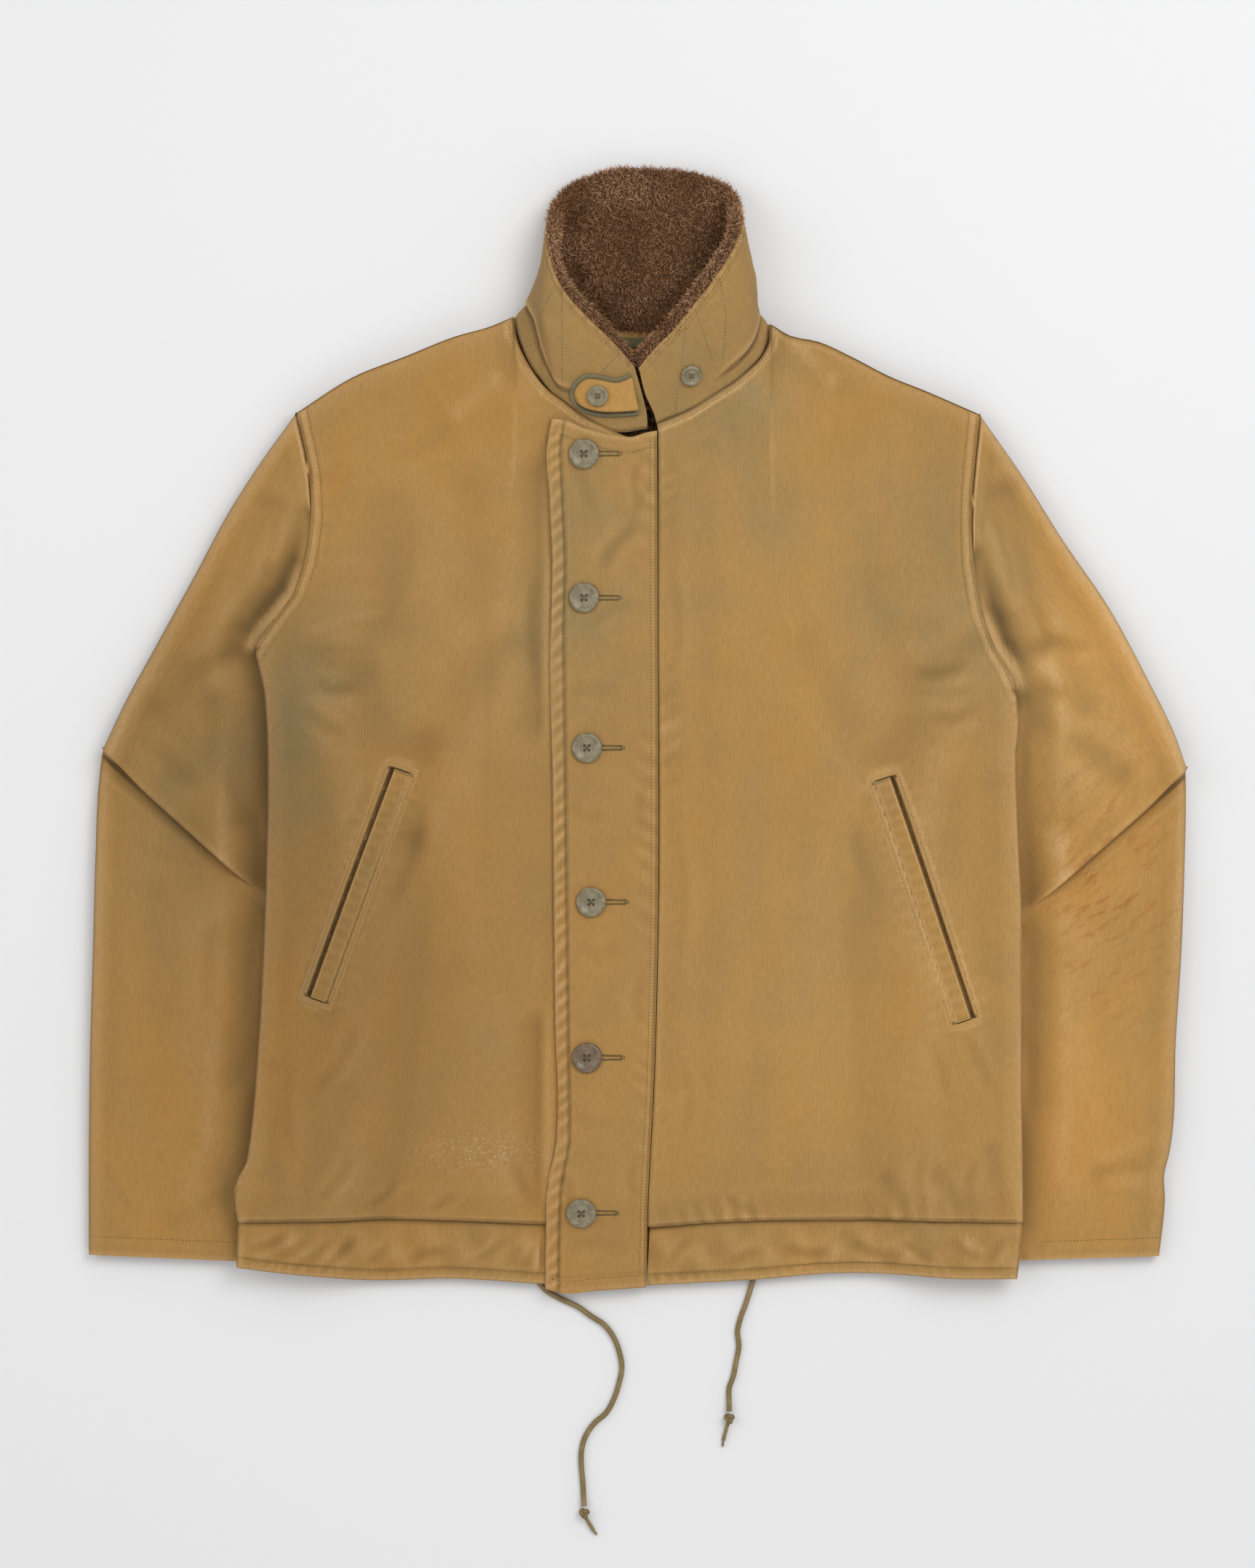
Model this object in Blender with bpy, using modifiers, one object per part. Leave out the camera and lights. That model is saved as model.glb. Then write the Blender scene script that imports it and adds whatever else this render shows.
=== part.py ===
# A pile-lined deck jacket laid flat on its back, front up, each cut and sewn piece its own solid
# Sizes are in millimetres here: +X is the wearer's left, +Y runs up to the collar, +Z off the table

import math

import bmesh
import bpy
import numpy as np
from mathutils import Vector
from mathutils.bvhtree import BVHTree

MM = 0.001

# Layers of the flat jacket
WALL = 9.0            # outer cloth with its deep pile lining, pressed by lying
LAYER_GAP = 0.5       # between the front and the back inside the body
SEAM_GAP = 0.4        # between pieces that meet at a seam
THIN_EDGE = 1.5       # wall left where a rounded edge ends
TUCK_HEIGHT = 12.5    # how far the body's sides are lifted by the sleeves under them
SLEEVE_TUCKED = 11.4  # top of a sleeve where the body lies on it
SLEEVE_SLIT = 6.5     # height of the slit inside a flat sleeve
BEND_SLACK = 1.7      # how far each layer leaves the other where they bend over a sleeve
NECK_RISE = 11.0      # how far the front stands off the back at the neckline
CROWN = 3.0           # fullness of a front between its edges
FLAP_CLOTH = 3.5      # storm flap
BAND_CLOTH = 5.5      # one layer of the hem band
BAND_CLEAR = 1.1      # between the two layers of the hem band
BACK_BAND_WIDTH = 27.0
POCKET_DEPTH = 4.6    # cloth left under a pocket's slit
WELT_WIDTH = 12.0
WELT_PROUD = 0.9
WELT_CLEAR = 1.2      # between a welt and the bottom of its window
WELT_ROUNDING = 0.7
CUTTER_DEPTH = 40.0
SLIT_WIDTH = 3.2
SHELL_CLOTH = 2.5     # outer cloth of the collar
PILE_DEPTH = 8.2      # pile lining of the collar
PILE_LIP_FRONT = 9.0  # pile that shows past the collar's front edges
PILE_LIP_BACK = 2.6
CORD_THICKNESS = 3.9
KNOT_SIZE = 8.4
TIP_THICKNESS = 2.6
BUTTON_BIG = 21.5
BUTTON_SMALL = 15.2
BUTTON_SECTION = [(0.0, 2.3), (0.62, 2.3), (0.72, 3.1), (0.88, 3.3), (1.0, 2.2), (0.96, 0.8), (0.8, 0.0),
                  (0.0, 0.0)]  # from the middle of the face out and back, shares of the radius and heights
HOLE_SIZE = 0.095     # shares of the button's radius
HOLE_PLACE = 0.23
HANGER_STRIP = [(-15, -5, 5, 15), (275, 282)]
HANGER_CLOTH = 1.6
TAB_CLOTH = 2.0
TAB_CLEAR = 0.6       # between the tab and the collar under it
BINDING_SECTION = (1.6, 3.0, 2.6)  # heights from the outer edge in
FLAP_HALF_EDGE = -62.0  # where the flap's edge lies on the right front

# Outlines: points in millimetres, smoothed into curves
SIDES = {
    "right": {
        "seam": [(-284.5, -351), (-287, -335), (-286, -321), (-279, -308), (-276, -290), (-269, -206),
                 (-265, -116), (-264, -1), (-266, 28), (-273, 58)],
        "armhole": [(-273, 58), (-260, 77), (-245, 97), (-237, 120), (-233, 152), (-235, 186), (-244, 228)],
        "shoulder": [(-244, 228), (-203, 254), (-165, 269), (-130, 283), (-105, 290), (-89.5, 296.5)],
        "hem": [(7, -355), (-65, -353), (-188, -349.5), (-225, -350), (-284.5, -351)],
        "centre": [(9, 203.5), (9, 100), (9, -100), (7, -250), (7, -355)],
        "tucked": [(-228, 150), (-231, 120), (-238, 97), (-250, 77), (-257, 58), (-255, 29), (-238, -15),
                   (-223, -71), (-220, -150), (-231, -262), (-253, -381)],
        "sleeve_outer_above": [(-244, 228), (-270, 192), (-293, 156), (-315, 115), (-348, 55), (-367, 20),
                               (-382, -12)],
        "sleeve_outer_below": [(-383.5, -16), (-386, -40), (-388, -88), (-390, -159), (-392, -230),
                               (-393, -316), (-393, -375)],
        "sleeve_inner_above": [(-273, 58), (-262, 29), (-244, -15), (-232, -71), (-234, -146)],
        "sleeve_inner_below": [(-236, -150), (-224, -180), (-231, -262), (-253, -381)],
        "band_bottom": [(6, -397), (-66, -396), (-133, -392), (-195, -393), (-225, -390), (-263, -386),
                        (-286, -383)],
        "pocket": [(-167.5, -28.5), (-227, -191.5)],
    },
    "left": {
        "seam": [(275, -351), (275, -329), (274, -262), (274, -130), (271, -60), (270, -15), (272, 5),
                 (270, 28)],
        "armhole": [(270, 28), (264, 43), (254, 60), (245, 85), (240, 119), (239.5, 164), (245, 227)],
        "shoulder": [(245, 227), (206, 244), (179, 255), (156, 267), (130, 279), (108, 284), (95.5, 292)],
        "hem": [(9, -355), (74, -351), (140, -350), (230, -350), (275, -351)],
        "centre": [(15, 214), (15, 112), (15.5, 0), (15, -150), (12, -257), (8, -337), (7.5, -355)],
        "tucked": [(232, 120), (236, 90), (246, 60), (256, 43), (260, 28), (256, 8), (242, -25), (228, -71),
                   (222, -150), (228, -262), (238, -380)],
        "sleeve_outer_above": [(245, 227), (277, 181), (304, 138), (338, 88), (364, 40), (387, -8), (393, -26)],
        "sleeve_outer_below": [(393, -31), (393, -56), (392, -96), (390, -153), (386, -217), (381, -303),
                               (377.5, -318), (378, -334), (374, -376)],
        "sleeve_inner_above": [(270, 28), (262, 5), (247, -30), (238, -80), (243, -158)],
        "sleeve_inner_below": [(245, -162), (226, -195), (228, -262), (238, -380)],
        "band_bottom": [(7, -397), (82, -393), (150, -388), (190, -389), (230, -391), (271, -391)],
        "pocket": [(174.5, -34.5), (231.5, -206.5)],
    },
}
FLAP_LEFT = [(-61, 222), (-64, 205), (-63, 170), (-61, 121), (-62, 75), (-60.5, -49), (-59, -200),
             (-58, -293), (-64, -325), (-65.5, -358), (-66, -399)]
FLAP_RIGHT = [(14, 213.5), (14.5, 112), (15, 0), (14.5, -150), (11.5, -257), (7.5, -337), (6.5, -398)]
FLAP_TOP = [(-61, 222), (-52, 221), (-39, 216), (-23, 211.5), (-4, 209), (6, 212), (14, 213.5)]
FLAP_BOTTOM = [(-66, -399), (-56, -402), (-29, -400.5), (6.5, -398)]

# Where grid lines lie along an edge, as shares of its length: closer where the cloth rounds off
SEAM_SPOTS = [0, 0.02, 0.06, 0.12, 0.19, 0.27, 0.35, 0.43, 0.51, 0.59, 0.67, 0.75, 0.83, 0.91, 1]
ARMHOLE_SPOTS = [0, 0.06, 0.15, 0.26, 0.38, 0.5, 0.62, 0.74, 0.85, 0.93, 0.98, 1]
SHOULDER_SPOTS = [0, 0.02, 0.06, 0.13, 0.23, 0.34, 0.46, 0.58, 0.7, 0.82, 0.92, 1]

# Collar: one section a row, from the right front end round the back of the neck to the left front end.
# seam, base, bend and rim are points of the outer cloth from the neckline up; facing is the way that the
# outer cloth looks, in degrees round the neck (90 up to the viewer, 180 the wearer's right, 270 the table)
COLLAR = [
    # facing, seam (x, y, z), base (x, y, z), bend (x, y, z), rim (x, y, z)
    (90, (7, 215, 29), (7, 222, 32), (3, 240, 38), (-2, 258, 40)),
    (90, (-16, 213, 29), (-18, 227, 33), (-19, 250, 41), (-18, 276, 44)),
    (90, (-38, 224, 29), (-42, 240, 35), (-41, 265, 44), (-34, 291, 48)),
    (92, (-52, 234, 29), (-56, 245, 36), (-56, 276, 47), (-49, 307, 50)),
    (98, (-63, 242, 28), (-63, 257, 36), (-65, 286, 47), (-58, 322, 50)),
    (118, (-78, 262, 25), (-69, 271, 34), (-69, 297, 43), (-63, 337, 47)),
    (150, (-87, 283, 18), (-75, 292, 26), (-70, 316, 35), (-65, 351, 39)),
    (180, (-89, 297, 11), (-80, 305, 17), (-69, 330, 25), (-64, 362, 28)),
    (225, (-80, 296, 3), (-74, 311, 6), (-67, 336, 10), (-61, 376, 14)),
    (262, (-60, 292, 0.4), (-58, 321, 1), (-54, 355, 2), (-47, 389, 5)),
    (270, (-29, 288, 0.4), (-27, 327, 0.4), (-24, 366, 0.5), (-19, 399, 2)),
    (270, (4, 287, 0.4), (4, 327, 0.4), (4, 366, 0.4), (7, 400, 1)),
    (270, (38, 287, 0.4), (37, 327, 0.4), (36, 366, 0.5), (38, 397, 2)),
    (278, (68, 290, 0.4), (68, 321, 1), (66, 355, 3), (64, 388, 6)),
    (315, (86, 291.5, 3), (82, 307, 6), (78, 334, 11), (73, 378, 16)),
    (360, (95, 292, 11), (88, 298, 18), (83, 326, 27), (75, 364, 30)),
    (390, (94, 277, 18), (87, 286, 27), (83, 315, 36), (74, 354, 42)),
    (420, (88, 266, 25), (83, 276, 34), (78, 306, 44), (67, 338, 50)),
    (438, (79, 257, 28), (76, 267, 36), (69, 293, 47), (53, 317, 52)),
    (448, (70, 249, 29), (67, 259, 36), (56, 282, 47), (40, 301, 52)),
    (450, (56, 240, 29), (53, 248, 34), (41, 268, 44), (26, 284, 50)),
    (450, (37, 228, 29), (35, 237, 33), (26, 254, 42), (12, 270, 47)),
    (450, (14, 218, 29), (12, 225, 32), (6, 238, 38), (1, 257, 42)),
]
COLLAR_ROWS = 8
RIGHT_NECK_POINT = 7
LEFT_NECK_POINT = 15
NECK_CENTRE = (2, 262)

# Folds: start x, y, end x, y, half width, depth. A fold with a minus depth is a ridge
FOLDS = {
    "right": [
        (-72, 180, -72, 10, 16, 2.6), (-70, -215, -74, -330, 15, 2.8), (-95, 60, -150, -10, 20, 2.6),
        (-150, -10, -163, -70, 16, 2.0), (-163, -80, -215, -200, 17, 2.2), (-208, -262, -232, -325, 15, 2.6),
        (-178, 160, -176, 80, 18, 1.4), (-116, 170, -112, 100, 18, 1.6), (-262, -240, -256, -330, 10, 1.8),
        (-236, 60, -200, 40, 14, 1.8), (-130, -180, -165, -320, 26, 1.4), (-100, 250, -128, 228, 9, -1.8),
        (-120, 0, -108, -200, 30, -1.5), (-215, 10, -190, -120, 24, -1.4),
    ],
    "left": [
        (24, 190, 22, 20, 9, 1.8), (26, -20, 24, -250, 10, 1.6), (242, 62, 205, 40, 13, 1.8),
        (120, 60, 165, -15, 18, 1.8), (214, -318, 236, -345, 8, 2.0), (178, -322, 196, -346, 8, 1.8),
        (252, -300, 262, -344, 8, 1.8), (60, 30, 55, -190, 28, 1.4), (109, 278, 138, 252, 8, -2.2),
        (150, 200, 165, 120, 26, 1.3), (255, -40, 248, -170, 14, 1.5), (120, -120, 128, -300, 34, -1.6),
        (200, -60, 214, -20, 16, -1.4), (88, -250, 60, -330, 18, 1.5),
    ],
}
SLEEVE_FOLDS = {
    "right": [
        (-262, 160, -285, 78, 12, 3.0), (-290, 60, -340, 20, 16, 2.0), (-300, 20, -285, -60, 13, 2.4),
        (-350, 10, -330, -30, 14, 1.6), (-292, -150, -290, -240, 18, 2.6), (-345, -120, -352, -260, 22, 1.4),
        (-285, -330, -330, -350, 12, 1.2),
    ],
    "left": [
        (262, 170, 286, 62, 11, 3.6), (300, 60, 318, 20, 13, 2.2), (292, 22, 300, -60, 13, 3.0),
        (318, -10, 345, -30, 12, 2.0), (300, -160, 296, -260, 18, 2.4), (345, -140, 350, -270, 22, 1.4),
        (330, -320, 368, -305, 9, 1.6),
    ],
}

# Sleeve sections: how far along each half, and how high the free cloth stands there
ABOVE_ELBOW = [(0, 20), (0.05, 20), (0.14, 19.5), (0.27, 19), (0.4, 18.5), (0.54, 18.5), (0.68, 19),
               (0.82, 20.5), (0.93, 23), (1, 24)]
BELOW_ELBOW = [(0, 13), (0.05, 13.5), (0.12, 15.5), (0.24, 17.5), (0.38, 17.5), (0.52, 17), (0.66, 16),
               (0.8, 14.5), (0.91, 12.5), (0.97, 12), (1, 10.5)]

FRONT_BUTTONS = [(-38, 197), (-38, 95), (-36, -12), (-33, -122), (-36, -233), (-40, -344)]
TAB_BUTTON = (-28, 237)
COLLAR_BUTTON = (38, 252)

# Throat tab: its outline from the lower inner end round the tip to the upper inner end
TAB_OUTLINE = [(1, 224), (-10, 223), (-29, 223.5), (-38, 226), (-45.5, 231.5), (-48.5, 239), (-45, 247),
               (-37, 252.5), (-26, 252), (-15, 250), (-5, 253.5)]
BINDING_WIDTH = 3.6

CORDS = {
    "right": {
        "route": [(-77, -386, 4.3), (-66, -401, 2.8), (-54, -408, 2.1), (-43, -413, 2.1), (-33, -420, 2.1),
                  (-24, -426, 2.1), (-17, -435, 2.1), (-13, -445, 2.1), (-11, -457, 2.1), (-13, -468, 2.1),
                  (-17, -480, 2.1), (-22, -489, 2.1), (-31, -497, 2.1), (-37, -506, 2.1), (-40, -517, 2.1),
                  (-40, -528, 2.1), (-39, -540, 2.1), (-38.5, -549, 2.6), (-38, -556, 4.0)],
        "knot": (-38, -561, 4.5),
        "tip": [(-36.6, -565.1, 2.9), (-30, -576.5, 1.7)],
    },
    "left": {
        "route": [(86, -383, 4.3), (82, -398, 2.8), (78, -411, 2.1), (74, -422, 2.1), (72, -431, 2.1),
                  (73, -441, 2.1),
                  (71, -453, 2.1), (69, -463, 2.1), (66, -472, 2.1), (66, -481, 2.6), (66, -488, 4.0)],
        "knot": (66, -493, 4.5),
        "tip": [(64.85, -497.15, 2.85), (61, -512.5, 1.7)],
    },
}

KHAKI = (0.40, 0.22, 0.075)
KHAKI_DARK = (0.30, 0.20, 0.09)
PILE_BROWN = (0.16, 0.07, 0.035)
TAB_TAN = (0.52, 0.28, 0.07)
OLIVE = (0.11, 0.095, 0.045)
BUTTON_OLIVE = (0.13, 0.105, 0.06)
CORD_OLIVE = (0.26, 0.17, 0.06)

for old in list(bpy.data.objects):
    bpy.data.objects.remove(old, do_unlink=True)

pieces = bpy.data.collections.new("deck_jacket")
cutters = bpy.data.collections.new("cutters")
bpy.context.scene.collection.children.link(pieces)
bpy.context.scene.collection.children.link(cutters)


def material(name, colour, roughness):
    """A plain surface with the piece's own colour."""
    made = bpy.data.materials.new(name)
    made.use_nodes = True
    shader = made.node_tree.nodes["Principled BSDF"]
    shader.inputs["Base Color"].default_value = (*colour, 1.0)
    shader.inputs["Roughness"].default_value = roughness
    shader.inputs["Metallic"].default_value = 0.0
    return made


def add_object(name, data, colour, roughness=0.9, collection=pieces):
    made = bpy.data.objects.new(name, data)
    collection.objects.link(made)
    if collection is cutters:
        made.hide_render = True
        made.display_type = "WIRE"
    else:
        data.materials.append(material(name, colour, roughness))
    return made


def smooth_step(value):
    value = np.clip(value, 0.0, 1.0)
    return value * value * (3.0 - 2.0 * value)


def round_off(distance, radius):
    """A quarter round: 0 at the edge, 1 from the radius inwards."""
    run = np.clip(distance / radius, 0.0, 1.0)
    return np.sqrt(1.0 - (1.0 - run) ** 2)


def curve_at(points, spots):
    """Points on a smooth curve through the given ones, at the given shares of its length."""
    knots = np.array(points, float)
    chord = np.concatenate([[0.0], np.cumsum(np.linalg.norm(np.diff(knots, axis=0), axis=1))])
    slopes = np.gradient(knots, chord, axis=0)
    fine = np.linspace(0.0, chord[-1], 30 * len(knots))
    span = np.clip(np.searchsorted(chord, fine, side="right") - 1, 0, len(knots) - 2)
    width = (chord[span + 1] - chord[span])[:, None]
    t = (fine - chord[span])[:, None] / width
    smooth = (knots[span] * (2 * t ** 3 - 3 * t ** 2 + 1)
              + slopes[span] * width * (t ** 3 - 2 * t ** 2 + t)
              + knots[span + 1] * (3 * t ** 2 - 2 * t ** 3)
              + slopes[span + 1] * width * (t ** 3 - t ** 2))
    along = np.concatenate([[0.0], np.cumsum(np.linalg.norm(np.diff(smooth, axis=0), axis=1))])
    wanted = np.array(spots, float) * along[-1]
    return np.column_stack([np.interp(wanted, along, smooth[:, axis]) for axis in range(knots.shape[1])])


def even(count):
    return np.linspace(0.0, 1.0, count)


def curve_length(points):
    return float(np.sum(np.linalg.norm(np.diff(np.array(points, float), axis=0), axis=1)))


def distance_to(points, x, y):
    """How far each place lies from a line of points."""
    line = np.array(points, float)[:, :2]
    nearest = np.full(np.shape(x), 1e9)
    for start, end in zip(line[:-1], line[1:]):
        run = end - start
        share = np.clip(((x - start[0]) * run[0] + (y - start[1]) * run[1]) / (run @ run), 0.0, 1.0)
        nearest = np.minimum(nearest, np.hypot(x - start[0] - share * run[0], y - start[1] - share * run[1]))
    return nearest


def fold_depth(rows, x, y):
    """Depth of soft troughs, each a straight run that fades at its ends."""
    total = np.zeros(np.shape(x))
    for start_x, start_y, end_x, end_y, half_width, depth in rows:
        away = distance_to([(start_x, start_y), (end_x, end_y)], x, y)
        total += depth * np.exp(-(away / half_width) ** 2)
    return total


def collar_points(first, last, column):
    """Seam, base, bend or rim points (columns 1 to 4) of the collar's sections."""
    return np.array([COLLAR[row][column] for row in range(first, last + 1)], float)


def outside_neck(points):
    """The panels' neckline: the collar's seam, moved away from the neck by a seam's gap."""
    away = points[:, :2] - np.array(NECK_CENTRE)
    return points[:, :2] + SEAM_GAP * away / np.linalg.norm(away, axis=1)[:, None]


NECKLINES = {
    "right": outside_neck(collar_points(0, RIGHT_NECK_POINT, 1)),
    "left": outside_neck(collar_points(LEFT_NECK_POINT, len(COLLAR) - 1, 1))[::-1],
}
NECKLINES["right"][0] = SIDES["right"]["centre"][0]
NECKLINES["right"][-1] = np.array(COLLAR[RIGHT_NECK_POINT][1][:2]) + (-SEAM_GAP, -2 * SEAM_GAP)
NECKLINES["left"][-1] = np.array(COLLAR[LEFT_NECK_POINT][1][:2]) + (SEAM_GAP, -2 * SEAM_GAP)


def tuck_lift(x, y):
    """How far the body's underside is lifted by the sleeves that are tucked under its sides."""
    lift = np.zeros(np.shape(x))
    for side, sign in (("right", -1), ("left", 1)):
        tucked = np.array(SIDES[side]["tucked"], float)
        inner = np.interp(-y, -tucked[:, 1], sign * tucked[:, 0])
        across = smooth_step(1.0 + (sign * x - inner + 12.0) / 60.0)
        along = smooth_step((SIDES[side]["armhole"][0][1] + 125.0 - y) / 75.0)
        lift += across * along
    return lift


def slack_over_sleeve(x, y):
    """The layers part a little where they bend over a sleeve's hidden edge."""
    share = tuck_lift(x, y)
    return BEND_SLACK * 4.0 * share * (1.0 - share)


def back_top(x, y):
    return TUCK_HEIGHT * tuck_lift(x, y) + WALL - slack_over_sleeve(x, y)


def front_under(x, y, side):
    """The underside of a front: it lies on the back, and stands off it towards the neckline."""
    off_neck = distance_to(NECKLINES[side], x, y)
    off_shoulder = distance_to(SIDES[side]["shoulder"], x, y)
    rise = NECK_RISE * (1.0 - smooth_step(off_neck / 100.0)) * smooth_step(off_shoulder / 60.0)
    return TUCK_HEIGHT * tuck_lift(x, y) + WALL + LAYER_GAP + slack_over_sleeve(x, y) + rise


def front_top(x, y, side):
    """The outside of a front, with its fullness, folds and rounded edges."""
    outline = SIDES[side]
    off_side = distance_to(outline["seam"], x, y)
    off_armhole = distance_to(outline["armhole"], x, y)
    off_shoulder = distance_to(outline["shoulder"], x, y)
    off_hem = distance_to(outline["hem"], x, y)
    off_neck = distance_to(NECKLINES[side], x, y)
    full = smooth_step(off_side / 70.0) * smooth_step(off_armhole / 60.0) * smooth_step(off_shoulder / 80.0)
    away = full * smooth_step(off_neck / 70.0) * smooth_step(off_hem / 60.0)
    folds = fold_depth(FOLDS[side], x, y) * smooth_step(off_neck / 30.0)
    if side == "right":
        clear = smooth_step((FLAP_HALF_EDGE - x) / 10.0)
        thick = WALL + CROWN * away * smooth_step((FLAP_HALF_EDGE - x) / 60.0) - folds * clear
    else:
        thick = WALL + CROWN * away * smooth_step((x - 20.0) / 60.0) - folds * smooth_step((x - 10.0) / 8.0)
        thick = thick + FLAP_CLOTH * (1.0 - smooth_step((x - 15.0) / 40.0))
    thick = thick - slack_over_sleeve(x, y)
    thick = thick * (0.5 + 0.5 * smooth_step(off_hem / 26.0))
    thick = thick * (0.86 + 0.14 * smooth_step(off_armhole / 7.0))
    thick = 4.0 + (thick - 4.0) * round_off(off_shoulder + 1.0, 15.0)
    thick = THIN_EDGE + (thick - THIN_EDGE) * round_off(off_side, 12.0)
    return front_under(x, y, side) + thick


def sleeve_top(x, y, free_height, side):
    """The outside of a sleeve: pressed down beside the body's edge and under it, free elsewhere."""
    sign = -1 if side == "right" else 1
    outline = SIDES[side]
    edge = np.array(outline["seam"] + outline["armhole"][1:], float)
    armpit = outline["armhole"][0][1]
    away = distance_to(edge, x, y)
    covered = sign * x < np.interp(y, edge[:, 1], sign * edge[:, 0])
    seat = SLEEVE_TUCKED + (20.0 - SLEEVE_TUCKED) * smooth_step((y - armpit - 45.0) / 70.0)
    shown = seat + (free_height - seat) * smooth_step((away - 6.0) / 28.0)
    shown = shown - fold_depth(SLEEVE_FOLDS[side], x, y) * smooth_step(away / 12.0)
    return np.where(covered, np.minimum(SLEEVE_TUCKED, seat), shown)


def mesh_from(name, points, faces):
    """A closed mesh, with its faces turned outwards."""
    shape = bmesh.new()
    corners = [shape.verts.new(Vector(point) * MM) for point in points]
    for face in faces:
        shape.faces.new([corners[index] for index in face])
    bmesh.ops.recalc_face_normals(shape, faces=shape.faces)
    mesh = bpy.data.meshes.new(name)
    shape.to_mesh(mesh)
    shape.free()
    mesh.shade_smooth()
    mesh.set_sharp_from_angle(angle=math.radians(50))
    return mesh


def wall(name, under, over, colour, roughness=0.9, collection=pieces):
    """A cloth wall between two grids of points, closed along its four edges."""
    rows, columns = under.shape[:2]
    points = np.concatenate([under.reshape(-1, 3), over.reshape(-1, 3)])
    count = rows * columns
    faces = []
    for row in range(rows - 1):
        for column in range(columns - 1):
            corner = row * columns + column
            ring = [corner, corner + 1, corner + columns + 1, corner + columns]
            for half in (ring[:3], [ring[0], *ring[2:]]):
                faces.append(half[::-1])
                faces.append([index + count for index in half])
    edge = [column for column in range(columns)]
    edge += [row * columns + columns - 1 for row in range(1, rows)]
    edge += [(rows - 1) * columns + column for column in range(columns - 2, -1, -1)]
    edge += [row * columns for row in range(rows - 2, 0, -1)]
    for index, corner in enumerate(edge):
        after = edge[(index + 1) % len(edge)]
        faces.append([corner, after, after + count, corner + count])
    return add_object(name, mesh_from(name, points, faces), colour, roughness, collection)


def patch(bottom, top, left, right):
    """A grid of points in plan that fills the space between four edges."""
    across = np.concatenate([[0.0], np.cumsum(np.linalg.norm(np.diff(bottom, axis=0), axis=1))])
    up = np.concatenate([[0.0], np.cumsum(np.linalg.norm(np.diff(right, axis=0), axis=1))])
    u = (across / across[-1])[None, :, None]
    v = (up / up[-1])[:, None, None]
    corners = ((1 - u) * (1 - v) * bottom[0] + u * (1 - v) * bottom[-1]
               + (1 - u) * v * top[0] + u * v * top[-1])
    return ((1 - v) * bottom[None] + v * top[None] + (1 - u) * left[:, None] + u * right[:, None] - corners)


def lift_grid(plan, height):
    return np.dstack([plan, np.broadcast_to(height, plan.shape[:2])])


def outer_edge(side):
    """The side seam and the armhole as one run of points, from the hem to the shoulder's tip."""
    seam = curve_at(SIDES[side]["seam"], SEAM_SPOTS)
    armhole = curve_at(SIDES[side]["armhole"], ARMHOLE_SPOTS)
    return np.concatenate([seam, armhole[1:]])


def front_panel(side):
    """One front, from the centre to the side seam and from the hem band to the shoulder."""
    outline = SIDES[side]
    outer = outer_edge(side)
    shoulder = curve_at(outline["shoulder"], SHOULDER_SPOTS)[::-1]
    neck_point = NECKLINES[side][-1]
    shoulder = shoulder + (neck_point - shoulder[0]) * (1 - even(len(shoulder)))[:, None]
    shoulder[:-1, 1] -= 2.0
    top = np.concatenate([NECKLINES[side], shoulder[1:]])
    steps = np.linalg.norm(np.diff(top, axis=0), axis=1)
    share = np.concatenate([[0.0], np.cumsum(steps)]) / np.sum(steps)
    hem = curve_at(outline["hem"], share)
    rise = np.linalg.norm(np.diff(outer, axis=0), axis=1)
    climb = np.concatenate([[0.0], np.cumsum(rise)]) / np.sum(rise)
    centre = curve_at(outline["centre"][::-1], climb)
    centre[0], centre[-1] = hem[0], top[0]
    outer[-1] = top[-1]
    plan = patch(hem, top, centre, outer)
    inset = plan.copy()
    towards = np.sign(outer[0, 0])
    sewn = slice(len(SEAM_SPOTS) - 1, None)
    inset[sewn, -1, 0] -= towards * SEAM_GAP
    x, y = inset[..., 0], inset[..., 1]
    under = lift_grid(inset, front_under(x, y, side))
    over = lift_grid(inset, front_top(x, y, side))
    return wall(f"front_{side}_panel", under, over, KHAKI)


def back_panel():
    """The back, under both fronts, with its neck edge left bare inside the open collar."""
    right = outer_edge("right")
    left = outer_edge("left")
    first, last = RIGHT_NECK_POINT, LEFT_NECK_POINT
    neck = collar_points(first, last, 1)[:, :2] - np.array([0, SEAM_GAP])
    neck[0], neck[-1] = NECKLINES["right"][-1], NECKLINES["left"][-1]
    slope_right = curve_at(SIDES["right"]["shoulder"], SHOULDER_SPOTS)
    slope_left = curve_at(SIDES["left"]["shoulder"], SHOULDER_SPOTS)[::-1]
    top = np.concatenate([slope_right[:-1], neck, slope_left[1:]])
    steps = np.linalg.norm(np.diff(top, axis=0), axis=1)
    share = np.concatenate([[0.0], np.cumsum(steps)]) / np.sum(steps)
    hem_line = SIDES["right"]["hem"][::-1] + SIDES["left"]["hem"][1:]
    bottom = curve_at(hem_line, share)
    right[0], right[-1] = bottom[0], top[0]
    left[0], left[-1] = bottom[-1], top[-1]
    plan = patch(bottom, top, right, left)
    sewn = slice(len(SEAM_SPOTS) - 1, None)
    plan[sewn, 0, 0] += SEAM_GAP
    plan[sewn, -1, 0] -= SEAM_GAP
    x, y = plan[..., 0], plan[..., 1]
    upper = back_top(x, y)
    thick = np.full(x.shape, WALL)
    for side in ("right", "left"):
        for edge, radius in (("seam", 10.0), ("shoulder", 9.0)):
            off = distance_to(SIDES[side][edge], x, y)
            thick = THIN_EDGE + (thick - THIN_EDGE) * round_off(off, radius)
    return wall("back_panel", lift_grid(plan, upper - thick), lift_grid(plan, upper), KHAKI)


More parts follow.
